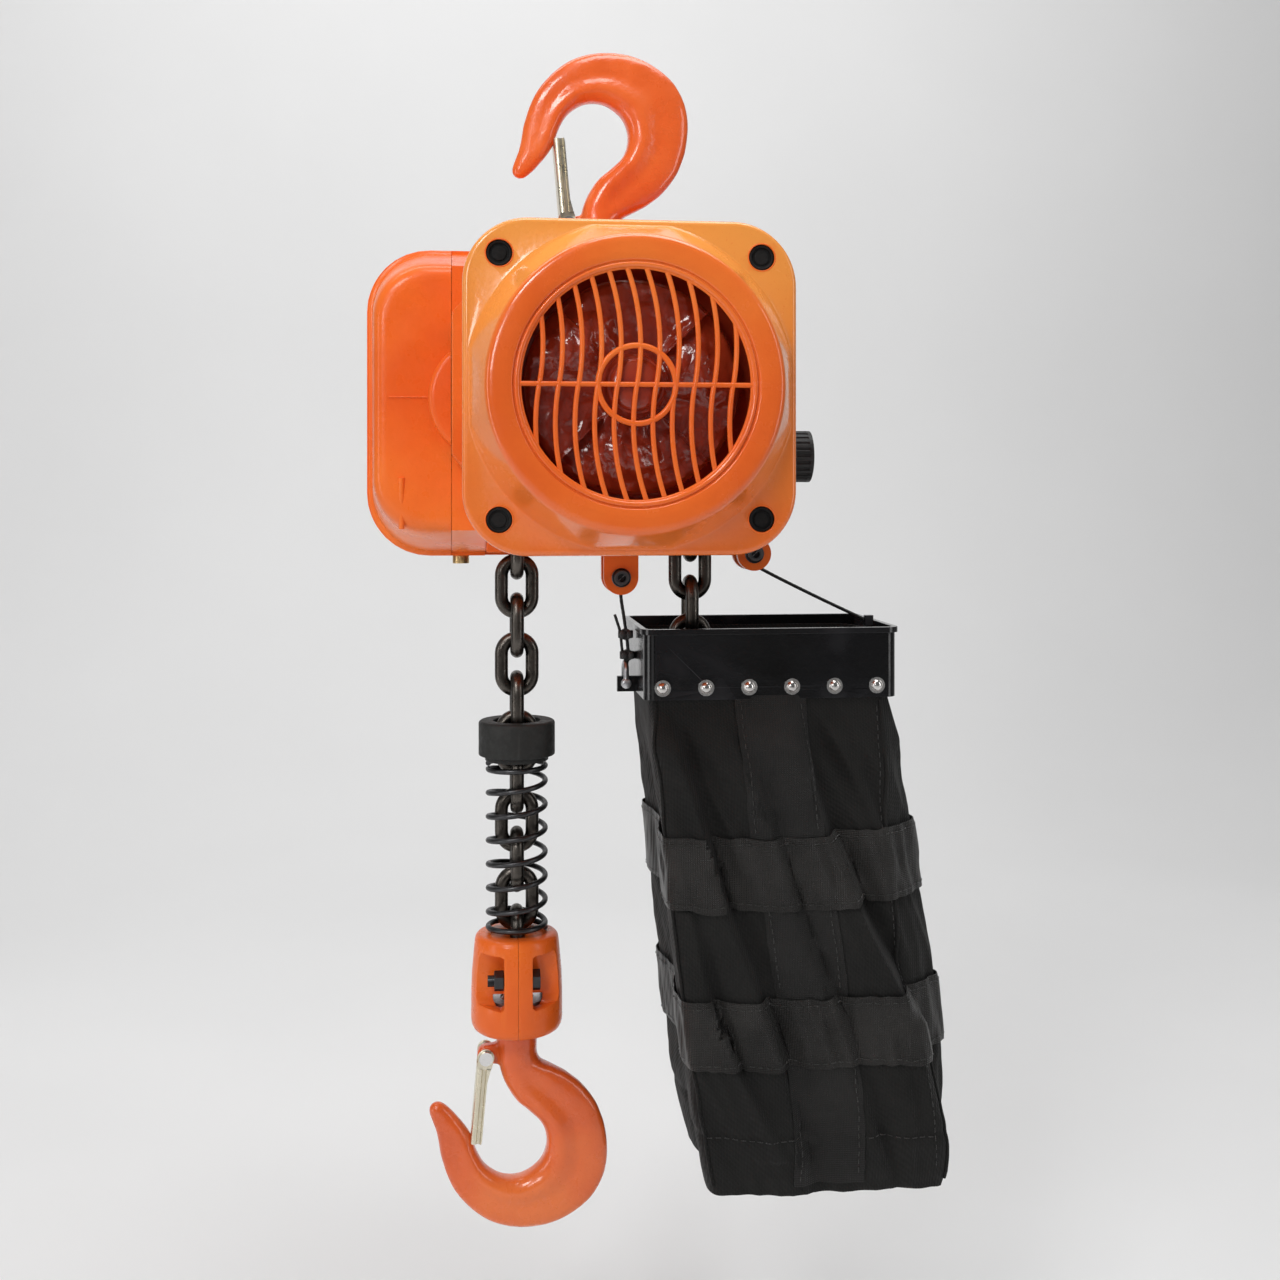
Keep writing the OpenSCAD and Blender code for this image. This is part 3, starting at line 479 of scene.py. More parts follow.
BRONZE = metal("bronze", (0.6, 0.4, 0.18), (0.35, 0.22, 0.09), (0.85, 0.65, 0.35), rough=0.3)
CABLE = metal("coated_wire", (0.012, 0.012, 0.012), (0.006, 0.006, 0.006), (0.08, 0.08, 0.08), rough=0.4,
              metallic=0.2, grain=1500, strength=0.5)
CLOTH = woven("bag_cloth", (0.0065, 0.0063, 0.006), (0.018, 0.0175, 0.0165), sheen=0.06)
WEBBING = woven("webbing", (0.009, 0.0085, 0.008), (0.030, 0.028, 0.026), rough=0.36, scale=330,
                strength=0.7, sheen=0.08, diagonal=False)
STRAP = woven("centre_strap", (0.008, 0.0078, 0.0075), (0.022, 0.021, 0.02), rough=0.6, scale=300,
              strength=0.6, sheen=0.08, diagonal=False)
THREAD = woven("stitching", (0.014, 0.0135, 0.013), (0.04, 0.038, 0.036), rough=0.6, scale=900, strength=0.4)

NODE_LOOKS = {
    ORANGE: ["main_frame", "motor_housing", "fan_cover", "electrical_cover", "gearbox_cover",
             "block_left", "block_right", "chain_guide"],
    RED: ["motor_end_shield", "cooling_fan"],
    HOOK: ["top_hook", "bottom_hook"],
    GLOSS_BLACK: ["bag_rim", "brake_coil", "lug_bolts"],
    BLACK: ["screw_plugs", "limit_switch", "side_plug", "cable_glands"],
    RUBBER: ["limit_collar", "gearbox_gasket"],
    GREY: ["contactor", "terminal_block"],
    DARK_STEEL: ["block_bolts", "block_nuts"],
    STEEL: ["cover_screws", "transformer", "stator_core", "shaft_bearings", "wheel_bearings",
            "layshaft_bearings", "motor_shaft", "rotor_core", "brake_disc", "layshaft", "first_gear",
            "chain_wheel", "output_gear", "thrust_bearing", "chain_end_pin", "bottom_hook_nut",
            "top_hook_nut"],
    ZINC: ["bottom_latch_pin", "top_latch_pin", "bag_rivets", "wire_fittings"],
    CHAIN: ["wrapped_chain", "load_chain", "slack_chain", "chain_pile"],
    SPRING: ["buffer_spring"],
    YELLOW_ZINC: ["bottom_latch", "top_latch"],
    COPPER: ["stator_winding"],
    BRONZE: ["drain_screw", "hook_bush"],
    CLOTH: ["bag_fabric"],
    CABLE: ["bag_wires"],
}

BEVELS = {
    "motor_housing": 1.5,
    "bag_rim": 0.35, "block_left": 0.9, "block_right": 0.9, "motor_end_shield": 1.0, "limit_collar": 0.6,
    "side_plug": 0.4, "cable_glands": 0.5, "lug_bolts": 0.4, "block_bolts": 0.4, "block_nuts": 0.4,
    "top_latch": 0.3, "bottom_latch": 0.3, "chain_guide": 0.5, "screw_plugs": 0.3, "wire_fittings": 0.2,
    "chain_wheel": 0.4, "drain_screw": 0.3,
}

CRISP = ("main_frame", "gearbox_cover")


def dress_nodes():
    """Gives every CAD node its material, and the ones that show a small rounding on their edges."""
    for material, names in NODE_LOOKS.items():
        for name in names:
            obj = frame["nodes"][name]
            set_material(obj, material)
            weld = obj.modifiers.new("weld", "WELD")
            weld.merge_threshold = 0.00001
            if name in CRISP:
                crisp = obj.modifiers.new("crisp", "EDGE_SPLIT")
                crisp.split_angle = math.radians(28)
            if name in BEVELS:
                add_bevel(obj, BEVELS[name], 32).harden_normals = True


# ---------------------------------------------------------------- stage
def camera():
    """Level camera a little to the left of the hoist, framed with a small upward shift."""
    data = bpy.data.cameras.new("camera")
    obj = bpy.data.objects.new("camera", data)
    bpy.context.scene.collection.objects.link(obj)
    data.sensor_width = 36
    data.lens = 42.95
    data.shift_x = 0
    data.shift_y = -0.119
    data.clip_end = 20
    azimuth = math.radians(7)
    obj.location = world((-81.6, -825.2, -46))
    obj.rotation_euler = (math.pi / 2, 0, -azimuth)
    bpy.context.scene.camera = obj


def area_light(name, at, size, power, aim, colour=(1, 1, 1)):
    data = bpy.data.lights.new(name, "AREA")
    data.shape = "RECTANGLE"
    data.size, data.size_y = size
    data.energy = power
    data.color = colour
    obj = bpy.data.objects.new(name, data)
    bpy.context.scene.collection.objects.link(obj)
    obj.location = at
    obj.rotation_euler = (Vector(aim) - Vector(at)).to_track_quat("-Z", "Y").to_euler()


def stage():
    """Pale seamless floor and backdrop, with large soft lights."""
    material, tree, shader, place = start_material("studio_paper")
    tone = ramp(tree, noise_at(tree, place, 3, 2, 0.5), [(0.3, grey(0.80)), (0.7, grey(0.82))])
    tree.links.new(tone, shader.inputs["Base Color"])
    shader.inputs["Roughness"].default_value = 0.9
    floor_z = cad_box[0][2] - 0.12
    back, reach, rise, curve = 1.9, 3.0, 3.4, 0.8
    profile = [(-reach, floor_z), (back - curve, floor_z)]
    for k in range(1, 13):
        a = math.pi / 2 * k / 12
        profile.append((back - curve + curve * math.sin(a), floor_z + curve - curve * math.cos(a)))
    profile.append((back, floor_z + rise))
    points = [(x, y, z) for y, z in profile for x in (-4, 4)]
    faces = [(2 * i, 2 * i + 1, 2 * i + 3, 2 * i + 2) for i in range(len(profile) - 1)]
    mesh = bpy.data.meshes.new("backdrop")
    mesh.from_pydata(points, [], faces)
    obj = bpy.data.objects.new("backdrop", mesh)
    bpy.context.scene.collection.objects.link(obj)
    finish_mesh(obj, 180)
    mesh.materials.append(material)
    area_light("key", (-0.8, -1.2, 0.9), (0.55, 0.4), 10.6, (0, -0.05, -0.2))
    area_light("top", (0.15, -0.3, 0.85), (0.8, 0.35), 5.6, (0, 0, -0.2))
    area_light("right", (1.2, -0.8, 0.0), (0.25, 1.1), 3.0, (0, 0, -0.25))
    area_light("left", (-1.3, -0.5, -0.3), (0.25, 1.0), 2.7, (0, 0, -0.3))
    area_light("front", (-1.15, -2.0, 0.35), (0.5, 0.5), 8.6, (0, 0, -0.3))
    area_light("backdrop_light", (0, 0.5, 1.5), (2.5, 0.8), 27.0, (0, 1.9, -0.4))
    world_data = bpy.data.worlds.new("studio")
    bpy.context.scene.world = world_data
    world_data.use_nodes = True
    background = world_data.node_tree.nodes["Background"]
    background.inputs["Color"].default_value = grey(0.9)
    background.inputs["Strength"].default_value = 0.15
    view = bpy.context.scene.view_settings
    view.view_transform = "Standard"
    view.look = "None"


# ---------------------------------------------------------------- chain bag
BAG_TOP_Z, RIM_BOTTOM_Z, BAG_BOTTOM_Z = -126.0, -158.0, -419.5
BANDS, BAND_OFF, BAND_THICK = ((-228, -266), (-313, -350)), 1.0, 1.3
RING = 288
ROWS = 190
# Height, left, right, front, back and x of the crisp front edge of the right gusset
BAG_FORM = [
    [-420, 53, 181.5, -31, 56, 176], [-410, 50.5, 183.5, -32.5, 58, 176], [-375, 43, 188, -35, 63, 172],
    [-350, 40.5, 186.5, -36, 64, 168], [-307, 36, 181, -36.5, 64.5, 158], [-266, 31.5, 174.5, -36, 64, 152],
    [-227, 28, 168, -34.5, 62.5, 147], [-182, 23, 158.5, -32, 60, 146], [-158, 20.6, 152.8, -28.6, 56.6, 146],
    [-120, 20.4, 153, -28.3, 56.3, 146]
]


def bag_size(z):
    """Left, right, front, back and gusset edge at a height."""
    for low, high in zip(BAG_FORM, BAG_FORM[1:]):
        if z <= high[0]:
            t = min(max((z - low[0]) / (high[0] - low[0]), 0), 1)
            return [mix(a, b, t) for a, b in zip(low[1:], high[1:])]
    return BAG_FORM[-1][1:]


def bag_ring(z):
    """The plan of the bag at a height: flat front and back, pleated gussets at both sides."""
    left, right, front, back, edge = bag_size(z)
    loose = smooth_step(-158, -230, z)
    pinch = 7 * loose
    keys = [(left + 4, front + 1.0), (mix(left, edge, 0.5), front - 0.4), (edge, front),
            (right - 1, front + mix(6, 24, loose)), (right - pinch, mix(front, back, 0.55)),
            (right - 1, back - 14), (right - 8, back), (mix(left, right, 0.5), back + 0.4), (left + 9, back),
            (left, back - 12), (left + pinch, mix(front, back, 0.5)), (left + 0.5, front + 15),
            (left + 1, front + 6)]
    shares = [0, 0.16, 0.34, 0.41, 0.47, 0.53, 0.56, 0.72, 0.87, 0.90, 0.94, 0.98, 0.99]
    ring = []
    for j in range(RING):
        s = j / RING
        k = max(i for i, share in enumerate(shares) if share <= s)
        a, b = keys[k], keys[(k + 1) % len(keys)]
        end = shares[k + 1] if k + 1 < len(shares) else 1.0
        t = (s - shares[k]) / (end - shares[k])
        ring.append((mix(a[0], b[0], t), mix(a[1], b[1], t)))
    return ring


def smooth_step(a, b, v):
    t = min(max((v - a) / (b - a), 0), 1)
    return t * t * (3 - 2 * t)


def fold(t, rise, drop):
    """A cloth fold across a line: it swells up to the line and falls away sharply past it."""
    return math.exp(-(t / rise) ** 2) if t < 0 else math.exp(-(t / (0.35 * drop)) ** 2) \
        - 0.85 * (1 - math.exp(-(t / (0.3 * drop)) ** 2)) * math.exp(-(t / drop) ** 2)


# Folds of the front: (height, x) points down each line, depth, rise and drop in mm
FRONT_FOLDS = [
    ([(-158, 96), (-205, 104), (-228, 112), (-266, 128), (-300, 146), (-330, 160), (-420, 178)],
     10.0, 27, 16),
    ([(-150, 24), (-200, 40), (-228, 48), (-266, 58), (-300, 72), (-350, 88), (-420, 104)], 7.0, 18, 12),
    ([(-158, 55), (-228, 84), (-266, 96), (-330, 120), (-420, 150)], 3.8, 16, 10),
    ([(-158, 128), (-200, 134), (-228, 143), (-266, 150), (-419, 160)], 1.3, 12, 8),
    ([(-266, 40), (-320, 52), (-350, 64), (-400, 92)], 4.6, 14, 11),
]
BACK_FOLDS = [
    ([(-158, 120), (-228, 104), (-300, 84), (-419, 66)], 3.8, 24, 16),
    ([(-158, 70), (-260, 60), (-419, 50)], 2.2, 18, 12),
    ([(-200, 150), (-300, 138), (-419, 118)], 2.8, 20, 14),
]


def along_line(points, z):
    """x of a fold line at a height, and how far the height is inside its ends."""
    points = sorted(points)
    for (z0, x0), (z1, x1) in zip(points, points[1:]):
        if z0 <= z <= z1:
            t = (z - z0) / (z1 - z0)
            inside = min(z - points[0][0], points[-1][0] - z)
            return mix(x0, x1, t), min(1, 0.35 + inside / 40)
    return None, 0


def bag_relief(x, y, z, facing):
    """How far the cloth stands out from its plan, in mm."""
    loose = smooth_step(-158, -186, z)
    total = 0.0
    weight = min(max(abs(facing) * 1.4 - 0.3, 0), 1)
    for line, depth, rise, drop in FRONT_FOLDS if facing > 0 else BACK_FOLDS:
        at, strength = along_line(line, z)
        if at is not None:
            total += weight * strength * depth * fold(x - at, rise, drop)
    place = Vector((x * 0.018 - z * 0.006, y * 0.02, z * 0.010 + x * 0.006))
    calm = 0.3 + 0.7 * weight
    total += 3.0 * calm * noise.noise(place)
    slant = Vector(((x + z * 0.45) * 0.075, y * 0.06, (z - x * 0.3) * 0.014))
    ridged = 1 - abs(noise.noise(slant)) * 2.6
    total += 1.9 * calm * ridged
    total += 0.45 * noise.noise(Vector((x, y, z * 0.6)) * 0.16)
    cinch = sum(math.exp(-((z - band) / 24) ** 2) for band in (-247, -331))
    total += 1.2 * (0.5 - cinch)
    puckers = noise.noise(Vector((x * 0.16, y * 0.16, z * 0.012)))
    total += 1.3 * cinch * puckers
    total -= 0.9 * math.exp(-((z + 387) / 2.6) ** 2)
    return total * loose


def make_bag_grid():
    """Rows of points down the bag, top first, with the folds sculpted in."""
    rows = []
    for i in range(ROWS):
        z = mix(BAG_TOP_Z, BAG_BOTTOM_Z, i / (ROWS - 1))
        ring = bag_ring(z)
        crisp = round(0.34 * RING)
        for _ in range(5):
            ring = [p if abs(j - crisp) < 1 and z < RIM_BOTTOM_Z else
                    tuple(0.25 * a + 0.5 * b + 0.25 * c for a, b, c in
                          zip(ring[j - 1], p, ring[(j + 1) % RING])) for j, p in enumerate(ring)]
        row = []
        for j, (x, y) in enumerate(ring):
            (xa, ya), (xb, yb) = ring[j - 2], ring[(j + 2) % RING]
            out = Vector((yb - ya, xa - xb, 0)).normalized()
            lift = bag_relief(x, y, z, -out.y)
            sag = 0.9 * smooth_step(-404, -419, z) * noise.noise(Vector((x * 0.05, y * 0.05, 3.0)))
            row.append(Vector((x, y, z + sag)) + out * lift)
        rows.append(row)
    return rows


BAG = make_bag_grid()


def on_bag(share, z, off=0.0):
    """A point on the bag's cloth at a share of its way round and a height, moved outwards."""
    row = min(max((z - BAG_TOP_Z) / (BAG_BOTTOM_Z - BAG_TOP_Z) * (ROWS - 1), 0), ROWS - 1.001)
    col = (share % 1) * RING
    i, j = int(row), int(col)
    fi, fj = row - i, col - j
    k = (j + 1) % RING
    a, b, c, d = BAG[i][j % RING], BAG[i][k], BAG[i + 1][j % RING], BAG[i + 1][k]
    point = a.lerp(b, fj).lerp(c.lerp(d, fj), fi)
    normal = (BAG[i][(j + 2) % RING] - BAG[i][(j - 2) % RING]).cross(
        BAG[min(i + 2, ROWS - 1)][j % RING] - BAG[max(i - 2, 0)][j % RING]).normalized()
    outwards = point - Vector((105, 14, point.z))
    if normal.dot(outwards) < 0:
        normal = -normal
    return point + normal * off, normal


def share_at_x(x, z, front=True):
    """Share of the way round at which the front or back of the bag has this x."""
    low, high = (0.0, 0.34) if front else (0.56, 0.87)
    for _ in range(24):
        middle = (low + high) / 2
        bigger = on_bag(middle, z)[0].x > x
        if bigger == front:
            high = middle
        else:
            low = middle
    return (low + high) / 2


def bag_cloth():
    """The bag itself, with its bottom closed and its cloth given a thickness."""
    shape = Shape()
    rows = [list(row) for row in BAG]
    middle = Vector((116, 13, 0))
    for k, shrink in enumerate((0.93, 0.8, 0.55, 0.25)):
        drop = 1.4 * (1 - shrink) ** 0.5
        rows.append([Vector((mix(middle.x, p.x, shrink), mix(middle.y, p.y, shrink),
                             p.z - drop + 1.6 * noise.noise(p * 0.06 + Vector((k, 0, 0)))))
                     for p in BAG[-1]])
    shape.loft(rows, caps=(False, True))
    cloth = shape.piece("bag_cloth", CLOTH, "chain_bag", "bag_cloth", replaces=("bag_fabric",), sharp=60)
    hem = cloth.modifiers.new("thickness", "SOLIDIFY")
    hem.thickness = 0.9 * MM
    hem.offset = -1
    apply_modifiers(cloth)
    finish_mesh(cloth, 60)


def band(shares, high, low):
    """A strip of webbing on the bag between two levels, as a closed skin."""
    rows = 9
    rings = []
    for s in shares:
        section = []
        for side in (1, 0):
            for r in range(rows):
                t = r / (rows - 1) if side else 1 - r / (rows - 1)
                z = mix(band_edge(high, s), band_edge(low, s), t)
                edge = 0.35 * BAND_THICK if r in (0, rows - 1) else 0
                p, n = on_bag(s, z)
                lift = BAND_OFF + band_ruffle(s, t, z) + (BAND_THICK - edge if side else edge)
                section.append(p + n * lift)
        rings.append(section)
    return rings


def band_ruffle(s, t, z):
    """How far a band puckers, most along its middle."""
    p, _ = on_bag(s, z)
    pucker = noise.noise(Vector((p.x * 0.20 + z * 0.05, p.y * 0.2, z * 0.015 + 4)))
    return 0.1 + 0.8 * (pucker + 0.5) * (0.25 + 0.75 * math.sin(math.pi * t))


def band_edge(level, s):
    """Height of a band's edge at a share of the way round."""
    return level + 0.9 * noise.noise(Vector((s * 20, level, 0))) - 1.5 * math.sin(s * 4 * math.pi)


def bag_bands():
    """Two straps right round the bag, puckered where the cloth under them is gathered."""
    shape = Shape()
    count = 360
    for high, low in BANDS:
        shape.loft(band([k / count for k in range(count)], high, low), loop=True)
    shape.piece("bag_straps", WEBBING, "chain_bag", "bag_cloth", sharp=50)


def strap_middle(z):
    """x of the middle of the centre strap at a height."""
    return 86 + 30 * smooth_step(-158, -414, z) ** 0.9


def bag_centre_straps():
    """The strap that runs down the front, under the bag's bands, and up the back."""
    shape = Shape()
    for front in (True, False):
        rings = []
        for k in range(91):
            z = mix(RIM_BOTTOM_Z + 2, -414, k / 90)
            section = []
            for side in (1, 0):
                for r in range(9):
                    t = r / 8 if side else 1 - r / 8
                    x = strap_middle(z) - 19 + 38 * t + 0.6 * noise.noise(Vector((z * 0.09, t, 0)))
                    p, n = on_bag(share_at_x(x, z, front), z)
                    section.append(p + n * (1.15 if side else 0.15) * (0.75 if r in (0, 8) else 1))
            rings.append(section)
        shape.loft(rings)
    shape.piece("bag_centre_straps", STRAP, "chain_bag", "bag_cloth", sharp=50)


def stitch_line(shape, places):
    """Short dashes of thread along a line of points with normals."""
    length, gap, off, radius = 2.8, 1.5, 0.2, 0.22
    walked, start = 0.0, None
    step = length + gap
    for (p, n), (q, m) in zip(places, places[1:]):
        span = (q - p).length
        walked += span
        if start is None:
            start = (p, n)
        if walked >= step:
            walked = 0
            a, b = start[0], q
            along = (b - a).normalized() * length * 0.5
            mid = (a + b) / 2 + (start[1] + m).normalized() * off
            shape.tube([mid - along, mid - along * 0.4 + n * 0.14, mid + along * 0.4 + n * 0.14, mid + along],
                       radius, sides=5)
            start = (q, m)


def bag_stitching():
    """Stitches along the bands, the centre straps, the hem and the gusset edges."""
    shape = Shape()
    count = 900
    for high, low in BANDS:
        for level, inwards in ((high, -3.2), (low, 3.2)):
            places = []
            for k in range(count + 1):
                s = k / count
                z = band_edge(level, s) + inwards
                t = (high - z) / (high - low)
                p, n = on_bag(s, z)
                places.append((p + n * (BAND_OFF + BAND_THICK + band_ruffle(s, t, z)), n))
            stitch_line(shape, places)
    for front in (True, False):
        for edge in (-16, 16):
            places = []
            for k in range(260):
                z = mix(-160, -412, k / 259)
                if any(low <= z <= high for high, low in BANDS):
                    continue
                p, n = on_bag(share_at_x(strap_middle(z) + edge, z, front), z)
                places.append((p + n * 1.15, n))
            stitch_line(shape, places)
    for low_share, high_share in ((0.0, 0.335), (0.42, 0.55), (0.56, 0.87)):
        places = []
        for k in range(320):
            s = mix(low_share, high_share, k / 319)
            p, n = on_bag(s, -388.5)
            places.append((p + n * 0.25, n))
        stitch_line(shape, places)
    for share in (0.333, 0.885):
        spots = [on_bag(share, mix(-162, -410, k / 259)) for k in range(260)]
        places = [(p + n * 0.25, n) for p, n in spots]
        stitch_line(shape, places)
    shape.piece("bag_stitching", THREAD, "chain_bag", "bag_cloth", sharp=60)


def bag_piping():
    """Bound seams at the gusset edges, which stand out as thin cords of folded cloth."""
    shape = Shape()
    for share in (0.34, 0.56, 0.87, 0.0):
        path = []
        for k in range(120):
            z = mix(-160, -414, k / 119)
            p, n = on_bag(share, z)
            path.append(p + n * 0.5)
        shape.tube(path, 0.95, sides=8)
    shape.piece("bag_piping", CLOTH, "chain_bag", "bag_cloth", sharp=60)


# ---------------------------------------------------------------- fan cover
PLATE_HALF, PLATE_CORNER = 77.3, 30.0


def square_radius(angle, half, corner):
    """Distance from the centre to the outline of a rounded square."""
    c, s = abs(math.cos(angle)), abs(math.sin(angle))
    if c < s:
        c, s = s, c
    core = half - corner
    if s * half <= c * core:
        return half / c
    along = core * (c + s)
    return along + math.sqrt(max(along * along - 2 * core * core + corner * corner, 0))


def cover_shell():
    """Pressed cover: rounded plate, raised cone, crowned front ring and a grooved opening."""
    square, disc = "square", "disc"
    profile = [
        (square, 0, -122), (square, 0, -127.6), (square, 0.35, -128.9), (square, 1.1, -129.7),
        (square, 2.1, -130.05), (square, 2.6, -130.1), (disc, 76.6, -130.15), (disc, 75.9, -130.7),
        (disc, 75.3, -131.8), (disc, 72.6, -138), (disc, 69.2, -145.8), (disc, 67.9, -148.9),
        (disc, 67.3, -150.3), (disc, 66.4, -151.3), (disc, 65.1, -151.9), (disc, 63.4, -152.1),
        (disc, 60, -152.2), (disc, 56.1, -152.2), (disc, 55.6, -152), (disc, 55.3, -151.2),
        (disc, 54.7, -151.1), (disc, 54.4, -151.9), (disc, 54.0, -152.15), (disc, 53.3, -152.1),
        (disc, 52.6, -151.7), (disc, 52.1, -151), (disc, 52, -149.6), (disc, 62, -149.4),
        (disc, 71.6, -129), (disc, 71.8, -122)
    ]
    count = 288
    rings = []
    for kind, size, y in profile:
        ring = []
        for j in range(count):
            a = 2 * math.pi * j / count
            if kind == square:
                r = square_radius(a, PLATE_HALF - size, PLATE_CORNER - size)
            else:
                inset = 3.0 + (76.6 - min(size, 76.6)) * 0.6
                r = min(size, square_radius(a, PLATE_HALF - inset, PLATE_CORNER - 3))
            ring.append((r * math.cos(a), y, r * math.sin(a)))
        rings.append(ring)
    shell = Shape().loft(rings, loop=True).piece("fan_cover_shell", COVER, "hoist_body", "orange_paint",
                                                  replaces=("fan_cover",), sharp=50)
    cutters = Shape()
    for x, z in FAN_SCREWS:
        cutters.turned([(6.1, -135), (6.1, -126)], "y", (x, 0, z), 48)
    cut_out(shell, cutters, "hoist_body", COVER, sharp=50)


def bar_x(z):
    """Sideways bend of a grille bar at a height above or below the middle."""
    reach = -100.4 + math.sqrt(102 ** 2 - (abs(z) - 17.7) ** 2)
    return reach if z >= 0 else -reach


def grille():
    """Round bars that curve in an S across the opening, with a ring in the middle."""
    shape = Shape()
    y, r = -149.7, 1.18
    for i in range(11):
        x0 = (i - 5) * 8.7
        inner = []
        for k in range(-110, 111):
            z = k * 0.5
            x = x0 + bar_x(z)
            far = math.hypot(x, z)
            if 17.2 <= far <= 52.6 or (far < 17.6 and abs(i - 5) <= 2):
                inner.append((k, (x, y - 0.45 * math.cos(far / 52 * math.pi / 2), z)))
            elif inner:
                if len(inner) > 4:
                    shape.tube([p for _, p in inner], r, sides=12)
                inner = []
        if len(inner) > 4:
            shape.tube([p for _, p in inner], r, sides=12)
    shape.tube([(mix(-52.6, 52.6, k / 60), y - 0.2, 0) for k in range(61)], r, sides=12)
    for radius, tube in ((17.4, 1.35), (52.5, 1.1)):
        shape.tube(turned_ring(radius, y - 0.3, "y", (0, 0, 0), 96), tube, sides=12, closed=True)
    for x, z in FAN_SCREWS:
        shape.tube(turned_ring(6.35, -129.95, "y", (x, 0, z), 64), 0.36, sides=10, closed=True)
    shape.piece("fan_grille", ORANGE, "hoist_body", "orange_paint", sharp=60)


def screw_caps():
    """Recess plugs with a raised rim and a hexagon socket; their near-black is partly their own colour and
    partly painted shade of the screw holes.
    """
    shape = Shape()
    for x, z in FAN_SCREWS:
        at = (x, 0, z)
        shape.turned([(0.01, -127.4), (5.9, -127.4), (5.98, -128.8), (5.7, -129.4), (5.2, -129.6),
                      (4.7, -129.4), (4.4, -128.6), (3.4, -128.5), (3.3, -129.1), (2.9, -129.2)], "y", at, 48)
        shape.loft([turned_ring(1.9, -129.2, "y", at, 6), turned_ring(1.8, -127.9, "y", at, 6)],
                   caps=(False, True))
        shape.loft([turned_ring(2.9, -129.2, "y", at, 48), turned_ring(2.0, -129.22, "y", at, 48)],
                   caps=(False, False))
    shape.piece("screw_caps", PLUG_AND_HOLE_SHADE, "hoist_body", "black_plastic", replaces=("screw_plugs",), sharp=40)


def fan_rotor():
    """Cast cooling fan: a domed hub over the shaft end, six rounded lumps and thin ribs between them."""
    shape = Shape()
    around, rings = 240, []
    for i in range(44):
        r = 0.2 + 49.6 * (i / 43)
        ring = []
        for j in range(around):
            a = 2 * math.pi * j / around
            lump = max(math.cos(3 * (a - 0.35)), -0.25)
            swell = math.exp(-((r - 31) / 13) ** 2) * (lump + 0.25) / 1.25
            hub = smooth_step(19.5, 12.5, r)
            rib = math.exp(-((a % (math.pi / 2) - math.pi / 4) * r / 0.55) ** 2)
            rough = 1.1 * noise.noise(Vector((r * math.cos(a), r * math.sin(a), 0)) * 0.16) \
                + 0.5 * noise.noise(Vector((r * math.cos(a), r * math.sin(a), 5)) * 0.5)
            high = max(3.0 + 8.5 * swell + rough * smooth_step(12, 20, r), 15.9 * hub)
            if r > 19:
                high = max(high, rib * 11.5 * smooth_step(19, 22, r))
            high = min(high, 17.4 if r > 9.7 else 18.0)
            ring.append((r * math.cos(a), -130.3 - high * smooth_step(50, 47.5, r), r * math.sin(a)))
        rings.append(ring)
    rings.append(turned_ring(49.8, -127.8, "y", (0, 0, 0), around))
    rings.append(turned_ring(12, -127.8, "y", (0, 0, 0), around))
    shape.loft(rings)
    shape.turned([(0.01, -148.35), (4.5, -148.3), (9.4, -148.05), (10.9, -147.3), (12, -146.2), (12, -127.2),
                  (0.01, -127.2)], "y", (0, 0, 0), 64)
    shape.piece("fan_rotor", RED, "motor_rotor", "red_paint", replaces=("cooling_fan",), sharp=50)


def lug_bolt_heads():
    """Small socket screws through both lugs, with washers, and their nuts behind."""
    shape = Shape()
    for x, z in LUGS:
        at = (x, 0, z)
        shape.turned([(0.01, 4.4), (5.1, 4.4), (5.3, 4.9), (5.3, 4.0), (5.0, 3.7), (4.3, 3.6), (4.3, 1.4),
                      (3.9, 1.0), (2.3, 1.0), (2.1, 2.6), (0.01, 2.8)], "y", at, 40)
        shape.turned([(0.01, 4.6), (3.5, 4.6), (3.5, 26.8), (2.9, 27.4), (0.01, 27.4)], "y", at, 32)
        shape.prism(at, "y", (6.6, 6, 23.1, 27.0))
    shape.piece("lug_screws", DARK_STEEL, "hoist_body", "black_steel", replaces=("lug_bolts",), sharp=40)


# ---------------------------------------------------------------- electrical box
def box_outline(left, half_z, corner, cut):
    """The left part of a rounded rectangle, from its upper cut end round to the lower one."""
    points = [(mix(cut, left + corner, k / 6), half_z) for k in range(6)]
    for k in range(15):
        a = math.pi / 2 * (1 + k / 14)
        points.append((left + corner + corner * math.cos(a), half_z - corner + corner * math.sin(a)))
    points += [(left, mix(half_z - corner, corner - half_z, k / 24)) for k in range(1, 24)]
    for k in range(15):
        a = math.pi / 2 * (2 + k / 14)
        points.append((left + corner + corner * math.cos(a), corner - half_z + corner * math.sin(a)))
    points += [(mix(left + corner, cut, k / 6), -half_z) for k in range(1, 7)]
    return points


